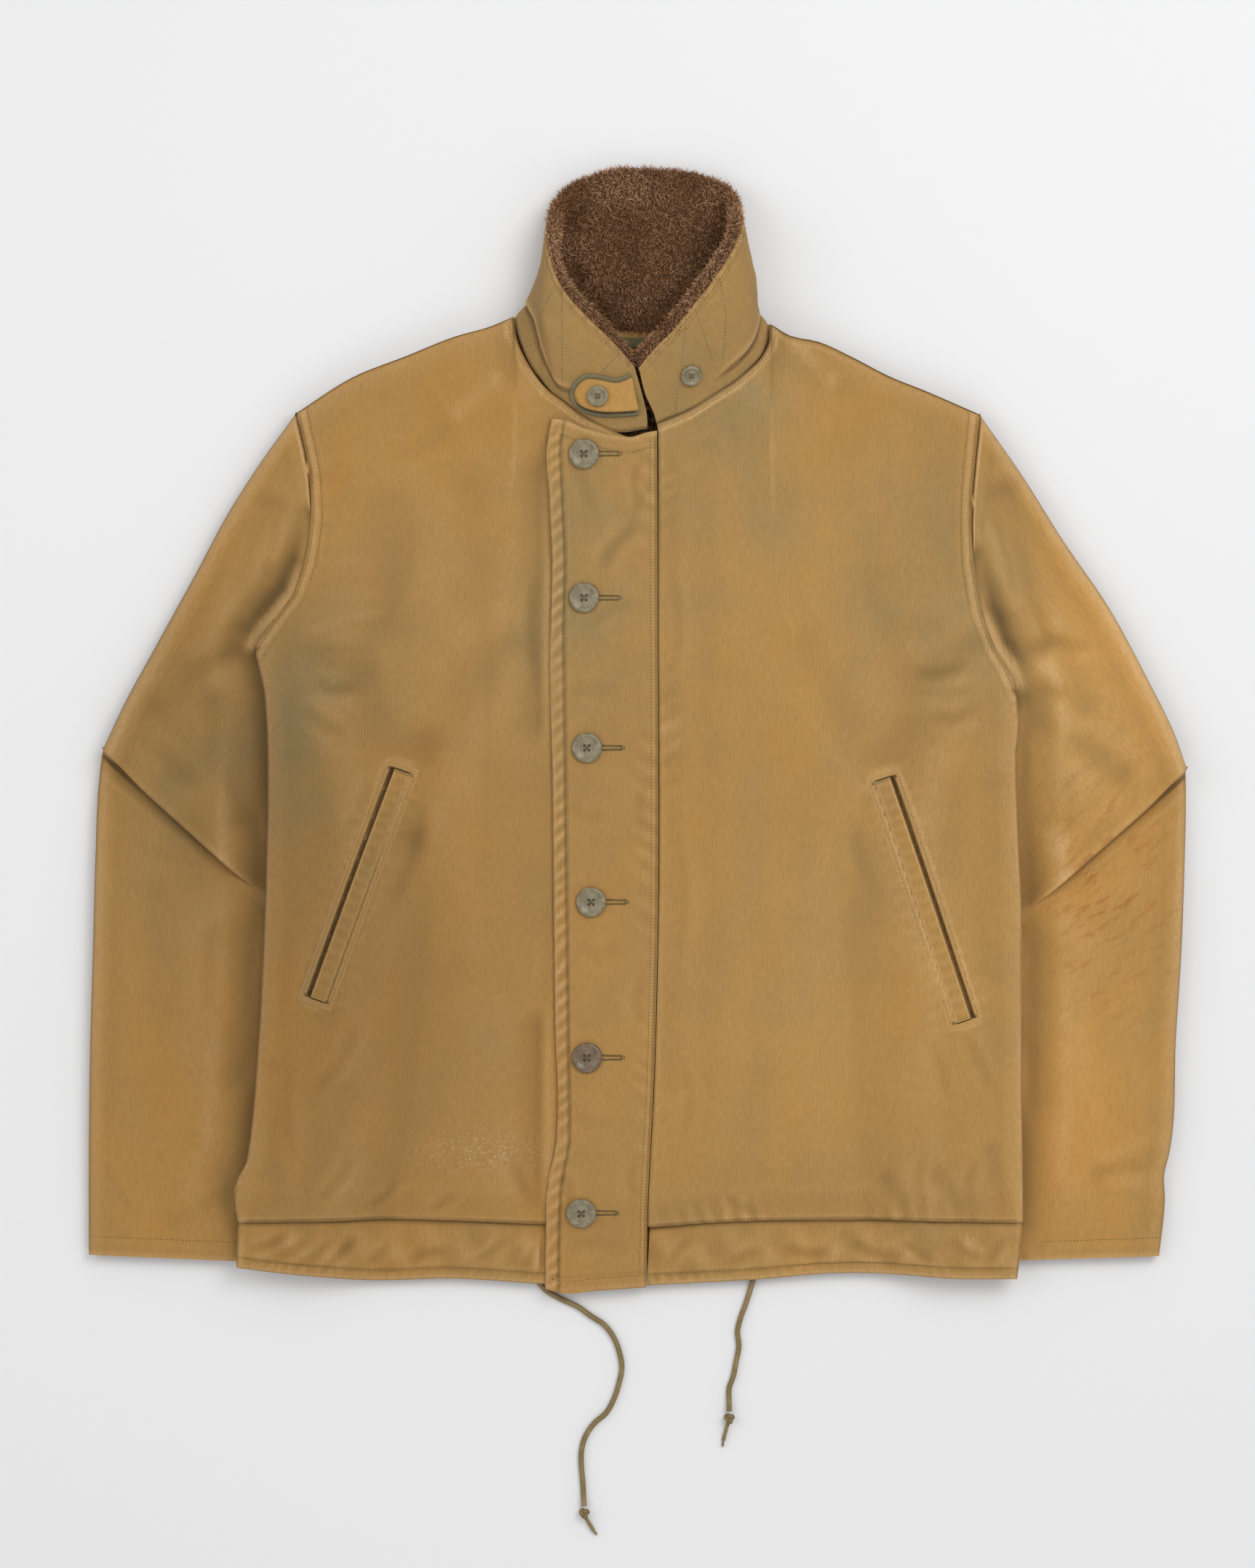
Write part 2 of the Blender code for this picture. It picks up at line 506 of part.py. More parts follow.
def sleeve(side):
    """A flat tube of cloth through sections from the armhole to the cuff, stepped at the elbow's fold."""
    outline = SIDES[side]
    sign = -1 if side == "right" else 1
    armhole = curve_at(outline["armhole"], ARMHOLE_SPOTS)[::-1]
    armhole[:, 0] += sign * SEAM_GAP
    spots = 1.0 - np.array(ARMHOLE_SPOTS)[::-1]
    chord = armhole[0] + (armhole[-1] - armhole[0]) * spots[:, None]
    rings = []
    for part, table in (("above", ABOVE_ELBOW), ("below", BELOW_ELBOW)):
        shares = [row[0] for row in table]
        outer = curve_at(outline[f"sleeve_outer_{part}"], shares)
        inner = curve_at(outline[f"sleeve_inner_{part}"], shares)
        for row, (share, free_height) in enumerate(table):
            across = outer[row] + (inner[row] - outer[row]) * spots[:, None]
            if part == "above":
                across = across + (armhole - chord) * (1.0 - share) ** 1.5
                if share == 0:
                    across = armhole.copy()
            x, y = across[:, 0], across[:, 1]
            width = np.linalg.norm(across[-1] - across[0])
            off_edge = np.minimum(spots, 1.0 - spots) * width
            if share == 0 and part == "above":
                off_edge = off_edge + 3.0
            peak = sleeve_top(x, y, free_height, side)
            over = SLEEVE_SLIT + (peak - SLEEVE_SLIT) * round_off(off_edge + 0.4, 9.0)
            below = SLEEVE_SLIT * (1.0 - round_off(off_edge + 0.4, 7.0))
            ring = [(x[i], y[i], over[i]) for i in range(len(spots))]
            ring += [(x[i], y[i], below[i]) for i in range(len(spots) - 1, -1, -1)]
            hollow = across[0] + (across[-1] - across[0]) * 0.03 + (across - across[0]) * 0.94
            slit = [(*hollow[i], SLEEVE_SLIT + 0.3) for i in range(len(spots))]
            slit += [(*hollow[i], SLEEVE_SLIT - 0.3) for i in range(len(spots) - 1, -1, -1)]
            rings.append((ring, slit))
    size = len(rings[0][0])
    points = [point for ring, slit in rings for point in ring + slit]
    faces = []
    for section in range(len(rings)):
        start = section * 2 * size
        for index in range(size):
            after = (index + 1) % size
            if section in (0, len(rings) - 1):
                faces.append([start + index, start + after, start + size + after, start + size + index])
            if section < len(rings) - 1:
                beyond = start + 2 * size
                faces.append([start + index, start + after, beyond + after, beyond + index])
                faces.append([start + size + index, start + size + after, beyond + size + after,
                              beyond + size + index])
    return add_object(f"sleeve_{side}", mesh_from(f"sleeve_{side}", points, faces), KHAKI)


def surface_of(made):
    """The piece's faces as they stand, to lay another piece on them."""
    graph = bpy.context.evaluated_depsgraph_get()
    graph.update()
    return BVHTree.FromObject(made, graph)


def height_on(tree, x, y):
    """Height of a surface over a place, in millimetres, or None beside it."""
    hit = tree.ray_cast(Vector((x * MM, y * MM, 0.3)), Vector((0, 0, -1)))
    return None if hit[0] is None else hit[0].z / MM


def heights_on(trees, plan, fallback):
    found = np.zeros(plan.shape[:2])
    for index in np.ndindex(plan.shape[:2]):
        heights = [height_on(tree, *plan[index]) for tree in trees]
        heights = [height for height in heights if height is not None]
        found[index] = max(heights) if heights else fallback
    return found


def hem_band(side):
    """The front hem band of one side: thin gathered cloth below the padded front."""
    outline = SIDES[side]
    columns = even(19)
    top = curve_at(outline["hem"], columns) - np.array([0, SEAM_GAP])
    bottom = curve_at(outline["band_bottom"], columns)
    rows = even(6)
    plan = top[None] * (1 - rows)[:, None, None] + bottom[None] * rows[:, None, None]
    x, y = plan[..., 0], plan[..., 1]
    under = TUCK_HEIGHT * tuck_lift(x, y) + BAND_CLOTH + BAND_CLEAR
    gathers = np.sin(x * 0.19 + y * 0.11) * np.sin(x * 0.071 - y * 0.05 + 1.0)
    middle = np.sin(math.pi * rows)[:, None]
    full = BAND_CLOTH * (0.75 + 0.25 * middle) + 1.3 * gathers * middle
    outer = distance_to([top[-1], bottom[-1]], x, y)
    full = THIN_EDGE + (full - THIN_EDGE) * round_off(outer + 0.5, 5.0)
    if side == "right":
        full = np.where(x > -70, np.minimum(full, 4.6), full)
    return wall(f"hem_band_{side}", lift_grid(plan, under), lift_grid(plan, under + full), KHAKI)


def hem_band_back():
    """The hem band of the back, a little shorter, so the drawcord's ends reach the table in front of it."""
    columns = even(25)
    line = SIDES["right"]["hem"][::-1] + SIDES["left"]["hem"][1:]
    top = curve_at(line, columns) - np.array([0, SEAM_GAP])
    bottom = top - np.array([0, BACK_BAND_WIDTH])
    rows = even(4)
    plan = top[None] * (1 - rows)[:, None, None] + bottom[None] * rows[:, None, None]
    plan[..., 0] *= 0.995
    x, y = plan[..., 0], plan[..., 1]
    under = TUCK_HEIGHT * tuck_lift(x, y)
    return wall("hem_band_back", lift_grid(plan, under), lift_grid(plan, under + BAND_CLOTH), KHAKI)


def placket(trees):
    """The storm flap: a strip over the right front, from the collar to below the hem."""
    rows = np.concatenate([[0, 0.006, 0.02], np.linspace(0.045, 0.96, 30), [0.985, 1]])
    columns = np.array([0, 0.03, 0.12, 0.24, 0.4, 0.58, 0.76, 0.9, 1])
    left = curve_at(FLAP_LEFT[::-1], rows)
    right = curve_at(FLAP_RIGHT[::-1], rows)
    top = curve_at(FLAP_TOP, columns)
    bottom = curve_at(FLAP_BOTTOM, columns)
    left[0], left[-1], right[0], right[-1] = bottom[0], top[0], bottom[-1], top[-1]
    plan = patch(bottom, top, left, right)
    level = np.max(heights_on(trees, plan, 0.0)[:, 1:-1], axis=1)
    first_held = int(np.argmax(level > 0))
    level[:first_held] = level[first_held]
    eased = level.copy()
    for row in range(1, len(level) - 1):
        eased[row] = np.max(level[row - 1:row + 2])
    under = eased[:, None] + SEAM_GAP + np.zeros(plan.shape[:2])
    x, y = plan[..., 0], plan[..., 1]
    edge = distance_to(FLAP_LEFT, x, y)
    pucker = 0.35 * np.sin(y * 0.32) * np.exp(-((edge - 9.0) / 5.0) ** 2)
    full = FLAP_CLOTH * (0.55 + 0.45 * round_off(edge, 5.0)) + pucker
    full = full * (0.8 + 0.2 * smooth_step(distance_to(FLAP_RIGHT, x, y) / 6.0))
    return wall("placket", lift_grid(plan, under), lift_grid(plan, under + full), KHAKI)


def strip_plan(start, end, width, along, shift):
    """A grid along a straight run: rows from start to end, columns across its width."""
    start, end = np.array(start, float), np.array(end, float)
    run = (end - start) / np.linalg.norm(end - start)
    side = np.array([-run[1], run[0]])
    across = (np.array([-0.5, -0.3, 0, 0.3, 0.5]) * width + shift)[None, :, None]
    rows = np.array(along)[:, None, None]
    return start + (end - start) * rows + side * across


def pocket(side, panel):
    """A slanted pocket: a window cut in the front, with its welt in it and a slit beside the welt."""
    start, end = SIDES[side]["pocket"]
    outward = -1 if side == "left" else 1
    rows = even(9)
    width = WELT_WIDTH + 1.5 * SEAM_GAP + SLIT_WIDTH
    window = strip_plan(start, end, width, rows, -outward * SLIT_WIDTH / 2)
    x, y = window[..., 0], window[..., 1]
    floor = front_under(x, y, side) + POCKET_DEPTH
    cutter = wall(f"pocket_cutter_{side}", lift_grid(window, floor), lift_grid(window, floor + CUTTER_DEPTH),
                  KHAKI, collection=cutters)
    cut = panel.modifiers.new("pocket window", "BOOLEAN")
    cut.object = cutter
    cut.operation = "DIFFERENCE"
    cut.solver = "EXACT"
    inner = SEAM_GAP / curve_length([start, end])
    welt = strip_plan(start, end, WELT_WIDTH, inner + (1 - 2 * inner) * rows, 0.0)
    x, y = welt[..., 0], welt[..., 1]
    under = front_under(x, y, side) + POCKET_DEPTH + WELT_CLEAR
    over = front_top(x, y, side) + WELT_PROUD
    for border in (0, -1):
        over[:, border] -= WELT_ROUNDING
    return wall(f"pocket_welt_{side}", lift_grid(welt, under), lift_grid(welt, over), KHAKI)


def facing_vectors(angles):
    turn = np.radians(angles)
    return np.column_stack([np.cos(turn), np.zeros(len(turn)), np.sin(turn)])


def collar_grid(spots):
    """Points of the outer cloth: rows up from the seam, columns round the neck, with the way each faces."""
    columns = []
    for _, seam, base, bend, rim in COLLAR:
        columns.append(curve_at([seam, base, bend, rim], spots))
    outer = np.stack(columns, axis=1)
    facing = facing_vectors([row[0] for row in COLLAR])
    return outer, np.broadcast_to(facing[None], outer.shape)


def collar_shell():
    outer, facing = collar_grid(even(COLLAR_ROWS))
    inner = outer - facing * SHELL_CLOTH
    return wall("collar_shell", inner, outer, KHAKI_DARK)


def collar_lining():
    """The pile inside the collar; it stands past the cloth's rim and rounds over it."""
    outer, facing = collar_grid(even(COLLAR_ROWS))
    angles = np.array([row[0] for row in COLLAR], float)
    front = smooth_step(1.0 - (90.0 - np.abs(angles - 270.0) + 30.0) / 90.0)
    front = np.where(np.abs(angles - 270.0) > 90.0, 1.0, front)
    lip = PILE_LIP_BACK + (PILE_LIP_FRONT - PILE_LIP_BACK) * front
    away = outer[-1] - outer[-2]
    away = away / np.linalg.norm(away, axis=1)[:, None]
    away[:, 2] *= 0.3
    layers = []
    for share in (0.55, 1.0):
        layers.append(outer[-1] + away * (lip * share)[:, None])
    outer = np.concatenate([outer, np.stack(layers)])
    facing = np.concatenate([facing, facing[:2]])
    near = SHELL_CLOTH + SEAM_GAP
    upper = np.full(outer.shape[:2], near)
    upper[-2] = near - 1.2 * front
    upper[-1] = near + 1.0
    depth = np.full(outer.shape[:2], near + PILE_DEPTH)
    depth[-2] -= 1.0
    depth[-1] -= 3.0
    over = outer - facing * upper[..., None]
    under = outer - facing * depth[..., None]
    return wall("collar_lining", under, over, PILE_BROWN, 1.0)


def offset_line(line, amount):
    """The line moved to its left side by an amount."""
    run = np.gradient(line, axis=0)
    run = run / np.linalg.norm(run, axis=1)[:, None]
    return line + np.column_stack([-run[:, 1], run[:, 0]]) * amount


def throat_tab(tree):
    """The tab over the throat, with its bound edge as a piece of its own."""
    line = curve_at(TAB_OUTLINE, even(25))
    edge = offset_line(line, -BINDING_WIDTH)
    bound = np.stack([line, line + (edge - line) * 0.5, edge], axis=1)
    base = heights_on([tree], bound, 40.0)
    middle = np.max(base, axis=1)[:, None]
    under = np.maximum(base, middle - TAB_CLEAR) + TAB_CLEAR
    full = np.array(BINDING_SECTION)[None]
    binding = wall("throat_tab_binding", lift_grid(bound, under), lift_grid(bound, under + full), OLIVE)
    inner = offset_line(line, -BINDING_WIDTH - SEAM_GAP)
    half = len(inner) // 2
    lower, upper = inner[:half], inner[:half:-1]
    across = np.array([0, 0.2, 0.5, 0.8, 1])[None, :, None]
    face = lower[:, None] * (1 - across) + upper[:, None] * across
    base = heights_on([tree], face, 40.0)
    level = np.max(base, axis=1)[:, None]
    under = np.maximum(base, level - TAB_CLEAR) + TAB_CLEAR
    tab = wall("throat_tab", lift_grid(face, under), lift_grid(face, under + TAB_CLOTH), TAB_TAN)
    return tab, binding


def hanger_strip(tree):
    across, up = HANGER_STRIP
    plan = np.array([[(x, y) for x in across] for y in up], float)
    under = heights_on([tree], plan, WALL) + SEAM_GAP
    return wall("hanger_strip", lift_grid(plan, under), lift_grid(plan, under + HANGER_CLOTH), KHAKI)


def seat_for(tree, x, y, radius):
    """Where a disc rests on a surface: the centre, the way it faces, and the lift that clears the cloth."""
    ring = []
    for step in range(8):
        turn = math.tau * step / 8
        at_x, at_y = x + radius * math.cos(turn), y + radius * math.sin(turn)
        ring.append(Vector((at_x, at_y, height_on(tree, at_x, at_y))))
    centre = Vector((x, y, height_on(tree, x, y)))
    facing = Vector((0, 0, 0))
    for index, point in enumerate(ring):
        facing += (point - centre).cross(ring[(index + 1) % 8] - centre)
    facing.normalize()
    highest = max((point - centre).dot(facing) for point in ring + [centre])
    return (centre + facing * (highest + SEAM_GAP)) * MM, facing


def button(name, tree, place, width, colour):
    """A turned four-hole button, its rim raised and its back flat."""
    radius = width / 2
    mesh = bpy.data.meshes.new(name)
    corners = [(share * radius * MM, 0, height * MM) for share, height in BUTTON_SECTION]
    mesh.from_pydata(corners, [(i, i + 1) for i in range(len(corners) - 1)], [])
    made = add_object(name, mesh, colour, 0.35)
    turned = made.modifiers.new("turned", "SCREW")
    turned.steps = turned.render_steps = 14
    turned.use_merge_vertices = True
    turned.merge_threshold = 0.00005
    location, facing = seat_for(tree, *place, radius)
    made.location = location
    made.rotation_mode = "QUATERNION"
    made.rotation_quaternion = Vector((0, 0, 1)).rotation_difference(facing)
    holes = [drill(f"{name}_hole_{step}", radius, step) for step in range(4)]
    for hole in holes:
        hole.parent = made
        cut = made.modifiers.new("hole", "BOOLEAN")
        cut.object = hole
        cut.operation = "DIFFERENCE"
        cut.solver = "EXACT"
    return made


def drill(name, radius, step):
    """A thin rod through the button, a quarter turn on from the last."""
    turn = math.tau * (step + 0.5) / 4
    shape = bmesh.new()
    width = HOLE_SIZE * radius * MM
    bmesh.ops.create_cone(shape, cap_ends=True, segments=5, radius1=width, radius2=width, depth=radius * MM)
    away = Vector((math.cos(turn), math.sin(turn), 0)) * HOLE_PLACE * radius * MM
    bmesh.ops.translate(shape, verts=shape.verts, vec=away)
    mesh = bpy.data.meshes.new(name)
    shape.to_mesh(mesh)
    shape.free()
    return add_object(name, mesh, BUTTON_OLIVE, collection=cutters)


def tube(name, route, thickness, colour, count, sides=2):
    """A round cord through the points of its route."""
    points = curve_at(route, even(count))
    data = bpy.data.curves.new(name, "CURVE")
    data.dimensions = "3D"
    data.bevel_depth = thickness / 2 * MM
    data.bevel_resolution = sides
    data.use_fill_caps = True
    spline = data.splines.new("POLY")
    spline.points.add(count - 1)
    for target, point in zip(spline.points, points):
        target.co = (*(point * MM), 1.0)
    return add_object(name, data, colour, 0.8)


def drawcord(side):
    """One free end of the hem's cord, with its knot and its tip."""
    rows = CORDS[side]
    count = int(curve_length(rows["route"]) / (2.6 * CORD_THICKNESS))
    tube(f"drawcord_{side}", rows["route"], CORD_THICKNESS, CORD_OLIVE, count)
    shape = bmesh.new()
    bmesh.ops.create_uvsphere(shape, u_segments=8, v_segments=6, radius=KNOT_SIZE / 2 * MM)
    mesh = bpy.data.meshes.new(f"drawcord_knot_{side}")
    shape.to_mesh(mesh)
    shape.free()
    knot = add_object(f"drawcord_knot_{side}", mesh, CORD_OLIVE)
    knot.location = Vector(rows["knot"]) * MM
    start, end = np.array(rows["tip"], float)
    tube(f"drawcord_tip_{side}", [start, (start + end) / 2, end], TIP_THICKNESS, CORD_OLIVE, 3, 1)


panels = {side: front_panel(side) for side in ("right", "left")}
back = back_panel()
for side in ("right", "left"):
    sleeve(side)
    pocket(side, panels[side])
    drawcord(side)
band = hem_band("right")
hem_band("left")
hem_band_back()
flap = placket([surface_of(panels["right"]), surface_of(band)])
shell = collar_shell()
collar_lining()
shell_faces = surface_of(shell)
tab, _ = throat_tab(shell_faces)
hanger_strip(surface_of(back))
flap_faces = surface_of(flap)
for number, place in enumerate(FRONT_BUTTONS, 1):
    button(f"button_front_{number}", flap_faces, place, BUTTON_BIG, BUTTON_OLIVE)
button("button_tab", surface_of(tab), TAB_BUTTON, BUTTON_SMALL, BUTTON_OLIVE)
button("button_collar", shell_faces, COLLAR_BUTTON, BUTTON_SMALL, BUTTON_OLIVE)
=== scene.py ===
import math

import bpy
import numpy as np
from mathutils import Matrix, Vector
from mathutils.bvhtree import BVHTree


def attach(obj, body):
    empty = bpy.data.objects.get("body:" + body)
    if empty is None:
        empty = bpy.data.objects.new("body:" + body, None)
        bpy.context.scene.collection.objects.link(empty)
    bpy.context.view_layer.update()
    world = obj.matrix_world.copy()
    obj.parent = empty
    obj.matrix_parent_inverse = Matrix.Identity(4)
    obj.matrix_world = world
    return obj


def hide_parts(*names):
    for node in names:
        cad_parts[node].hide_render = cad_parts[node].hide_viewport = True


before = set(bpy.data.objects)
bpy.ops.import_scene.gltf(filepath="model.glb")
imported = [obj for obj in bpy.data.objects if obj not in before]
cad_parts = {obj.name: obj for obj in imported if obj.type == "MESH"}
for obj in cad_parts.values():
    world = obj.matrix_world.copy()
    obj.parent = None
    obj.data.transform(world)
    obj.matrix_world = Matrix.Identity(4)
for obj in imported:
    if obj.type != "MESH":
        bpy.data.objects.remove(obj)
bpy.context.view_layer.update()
mm = 0.001
print("frame loaded,", len(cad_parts), "solids")

# Camera straight above, far off, framed as in the photograph
cameraSettings = {"x": -7.0, "y": -37.8, "height": 3000.0, "framed": 1121.1, "framed at": 15.0, "sensor": 36.0}


def addCamera(settings):
    data = bpy.data.cameras.new("camera")
    data.sensor_width = settings["sensor"]
    data.lens = settings["sensor"] * (settings["height"] - settings["framed at"]) / settings["framed"]
    data.clip_start = 0.1
    data.clip_end = 20
    made = bpy.data.objects.new("camera", data)
    made.location = Vector((settings["x"], settings["y"], settings["height"])) * mm
    bpy.context.scene.collection.objects.link(made)
    bpy.context.scene.camera = made


addCamera(cameraSettings)

# Thicknesses and heights shared with the solids
layers = {
    "shell": 1.5, "wall": 9.0, "layer gap": 0.5, "thin edge": 1.5, "tuck height": 12.5,
    "sleeve tucked": 11.4, "sleeve slit": 6.5, "bend slack": 1.7, "neck rise": 11.0, "crown": 3.0,
    "flap": 3.5, "band": 5.5, "band clear": 1.1, "back band width": 27.0, "collar cloth": 2.5,
    "pile depth": 8.2, "pile lip front": 9.0, "pile lip back": 2.6,
}

# Outlines of the pieces in plan, as points on smooth curves
outlines = {
    "right": {
        "seam": [(-284.5, -351), (-287, -335), (-286, -321), (-279, -308), (-276, -290), (-269, -206),
                 (-265, -116), (-264, -1), (-266, 28), (-273, 58)],
        "armhole": [(-273, 58), (-260, 77), (-245, 97), (-237, 120), (-233, 152), (-235, 186), (-244, 228)],
        "shoulder": [(-244, 228), (-203, 254), (-165, 269), (-130, 283), (-105, 290), (-89.5, 296.5)],
        "hem": [(7, -355), (-65, -353), (-188, -349.5), (-225, -350), (-284.5, -351)],
        "centre": [(9, 203.5), (9, 100), (9, -100), (7, -250), (7, -355)],
        "tucked": [(-228, 150), (-231, 120), (-238, 97), (-250, 77), (-257, 58), (-255, 29), (-238, -15),
                   (-223, -71), (-220, -150), (-231, -262), (-253, -381)],
        "outer above": [(-244, 228), (-270, 192), (-293, 156), (-315, 115), (-348, 55), (-367, 20), (-382, -12)],
        "outer below": [(-383.5, -16), (-386, -40), (-388, -88), (-390, -159), (-392, -230), (-393, -316),
                        (-393, -375)],
        "inner above": [(-273, 58), (-262, 29), (-244, -15), (-232, -71), (-234, -146)],
        "inner below": [(-236, -150), (-224, -180), (-231, -262), (-253, -381)],
        "band bottom": [(6, -397), (-66, -396), (-133, -392), (-195, -393), (-225, -390), (-263, -386),
                        (-286, -383)],
        "pocket": [(-167.5, -28.5), (-227, -191.5)],
    },
    "left": {
        "seam": [(275, -351), (275, -329), (274, -262), (274, -130), (271, -60), (270, -15), (272, 5), (270, 28)],
        "armhole": [(270, 28), (264, 43), (254, 60), (245, 85), (240, 119), (239.5, 164), (245, 227)],
        "shoulder": [(245, 227), (206, 244), (179, 255), (156, 267), (130, 279), (108, 284), (95.5, 292)],
        "hem": [(9, -355), (74, -351), (140, -350), (230, -350), (275, -351)],
        "centre": [(15, 214), (15, 112), (15.5, 0), (15, -150), (12, -257), (8, -337), (7.5, -355)],
        "tucked": [(232, 120), (236, 90), (246, 60), (256, 43), (260, 28), (256, 8), (242, -25), (228, -71),
                   (222, -150), (228, -262), (238, -380)],
        "outer above": [(245, 227), (277, 181), (304, 138), (338, 88), (364, 40), (387, -8), (393, -26)],
        "outer below": [(393, -31), (393, -56), (392, -96), (390, -153), (386, -217), (381, -303), (377.5, -318),
                        (378, -334), (374, -376)],
        "inner above": [(270, 28), (262, 5), (247, -30), (238, -80), (243, -158)],
        "inner below": [(245, -162), (226, -195), (228, -262), (238, -380)],
        "band bottom": [(7, -397), (82, -393), (150, -388), (190, -389), (230, -391), (271, -391)],
        "pocket": [(174.5, -34.5), (231.5, -206.5)],
    },
}
flapOutline = {
    "left": [(-61, 222), (-64, 205), (-63, 170), (-61, 121), (-62, 75), (-60.5, -49), (-59, -200), (-58, -293),
             (-64, -325), (-65.5, -358), (-66, -399)],
    "right": [(14, 213.5), (14.5, 112), (15, 0), (14.5, -150), (11.5, -257), (7.5, -337), (6.5, -398)],
    "top": [(-61, 222), (-52, 221), (-39, 216), (-23, 211.5), (-4, 209), (6, 212), (14, 213.5)],
    "bottom": [(-66, -399), (-56, -402), (-29, -400.5), (6.5, -398)],
}
# Collar sections round the neck: facing angle, then seam, base, bend and rim points of the outer cloth
collarSections = [
    (90, (7, 215, 29), (7, 222, 32), (3, 240, 38), (-2, 258, 40)),
    (90, (-16, 213, 29), (-18, 227, 33), (-19, 250, 41), (-18, 276, 44)),
    (90, (-38, 224, 29), (-42, 240, 35), (-41, 265, 44), (-34, 291, 48)),
    (92, (-52, 234, 29), (-56, 245, 36), (-56, 276, 47), (-49, 307, 50)),
    (98, (-63, 242, 28), (-63, 257, 36), (-65, 286, 47), (-58, 322, 50)),
    (118, (-78, 262, 25), (-69, 271, 34), (-69, 297, 43), (-63, 337, 47)),
    (150, (-87, 283, 18), (-75, 292, 26), (-70, 316, 35), (-65, 351, 39)),
    (180, (-89, 297, 11), (-80, 305, 17), (-69, 330, 25), (-64, 362, 28)),
    (225, (-80, 296, 3), (-74, 311, 6), (-67, 336, 10), (-61, 376, 14)),
    (262, (-60, 292, 0.4), (-58, 321, 1), (-54, 355, 2), (-47, 389, 5)),
    (270, (-29, 288, 0.4), (-27, 327, 0.4), (-24, 366, 0.5), (-19, 399, 2)),
    (270, (4, 287, 0.4), (4, 327, 0.4), (4, 366, 0.4), (7, 400, 1)),
    (270, (38, 287, 0.4), (37, 327, 0.4), (36, 366, 0.5), (38, 397, 2)),
    (278, (68, 290, 0.4), (68, 321, 1), (66, 355, 3), (64, 388, 6)),
    (315, (86, 291.5, 3), (82, 307, 6), (78, 334, 11), (73, 378, 16)),
    (360, (95, 292, 11), (88, 298, 18), (83, 326, 27), (75, 364, 30)),
    (390, (94, 277, 18), (87, 286, 27), (83, 315, 36), (74, 354, 42)),
    (420, (88, 266, 25), (83, 276, 34), (78, 306, 44), (67, 338, 50)),
    (438, (79, 257, 28), (76, 267, 36), (69, 293, 47), (53, 317, 52)),
    (448, (70, 249, 29), (67, 259, 36), (56, 282, 47), (40, 301, 52)),
    (450, (56, 240, 29), (53, 248, 34), (41, 268, 44), (26, 284, 50)),
    (450, (37, 228, 29), (35, 237, 33), (26, 254, 42), (12, 270, 47)),
    (450, (14, 218, 29), (12, 225, 32), (6, 238, 38), (1, 257, 42)),
]
neckPoints = {"right": 7, "left": 15}

# Folds: start x, y, end x, y, half width, depth; a minus depth is a ridge
frontFolds = {
    "right": [
        (-72, 180, -72, 10, 16, 2.6), (-70, -215, -74, -330, 15, 2.8), (-95, 60, -150, -10, 20, 2.6),
        (-150, -10, -163, -70, 16, 2.0), (-163, -80, -215, -200, 17, 2.2), (-208, -262, -232, -325, 15, 2.6),
        (-178, 160, -176, 80, 18, 1.4), (-116, 170, -112, 100, 18, 1.6), (-262, -240, -256, -330, 10, 1.8),
        (-236, 60, -200, 40, 14, 1.8), (-130, -180, -165, -320, 26, 1.4), (-100, 250, -128, 228, 9, -1.8),
        (-120, 0, -108, -200, 30, -1.5), (-215, 10, -190, -120, 24, -1.4),
    ],
    "left": [
        (24, 190, 22, 20, 9, 1.8), (26, -20, 24, -250, 10, 1.6), (242, 62, 205, 40, 13, 1.8),
        (120, 60, 165, -15, 18, 1.8), (214, -318, 236, -345, 8, 2.0), (178, -322, 196, -346, 8, 1.8),
        (252, -300, 262, -344, 8, 1.8), (60, 30, 55, -190, 28, 1.4), (109, 278, 138, 252, 8, -2.2),
        (150, 200, 165, 120, 26, 1.3), (255, -40, 248, -170, 14, 1.5), (120, -120, 128, -300, 34, -1.6),
        (200, -60, 214, -20, 16, -1.4), (88, -250, 60, -330, 18, 1.5),
    ],
}
sleeveFolds = {
    "right": [
        (-262, 160, -285, 78, 12, 3.0), (-290, 60, -340, 20, 16, 2.0), (-300, 20, -285, -60, 13, 2.4),
        (-350, 10, -330, -30, 14, 1.6), (-292, -150, -290, -240, 18, 2.6), (-345, -120, -352, -260, 22, 1.4),
        (-285, -330, -330, -350, 12, 1.2),
    ],
    "left": [
        (262, 170, 286, 62, 11, 3.6), (300, 60, 318, 20, 13, 2.2), (292, 22, 300, -60, 13, 3.0),
        (318, -10, 345, -30, 12, 2.0), (300, -160, 296, -260, 18, 2.4), (345, -140, 350, -270, 22, 1.4),
        (330, -320, 368, -305, 9, 1.6),
    ],
}
# Sleeve sections: share of each half's length, and the height of the free cloth there
sleeveSections = {
    "above": [(0, 20), (0.05, 20), (0.14, 19.5), (0.27, 19), (0.4, 18.5), (0.54, 18.5), (0.68, 19), (0.82, 20.5),
              (0.93, 23), (1, 24)],
    "below": [(0, 13), (0.05, 13.5), (0.12, 15.5), (0.24, 17.5), (0.38, 17.5), (0.52, 17), (0.66, 16),
              (0.8, 14.5), (0.91, 12.5), (0.97, 12), (1, 10.5)],
}
armholeSpots = [0, 0.06, 0.15, 0.26, 0.38, 0.5, 0.62, 0.74, 0.85, 0.93, 0.98, 1]
tabOutline = [(1, 224), (-10, 223), (-29, 223.5), (-38, 226), (-45.5, 231.5), (-48.5, 239), (-45, 247),
              (-37, 252.5), (-26, 252), (-15, 250), (-5, 253.5)]


# Numbers

def smoothStep(value):
    value = np.clip(value, 0.0, 1.0)
    return value * value * (3.0 - 2.0 * value)


def roundOff(distance, radius):
    run = np.clip(distance / radius, 0.0, 1.0)
    return np.sqrt(1.0 - (1.0 - run) ** 2)


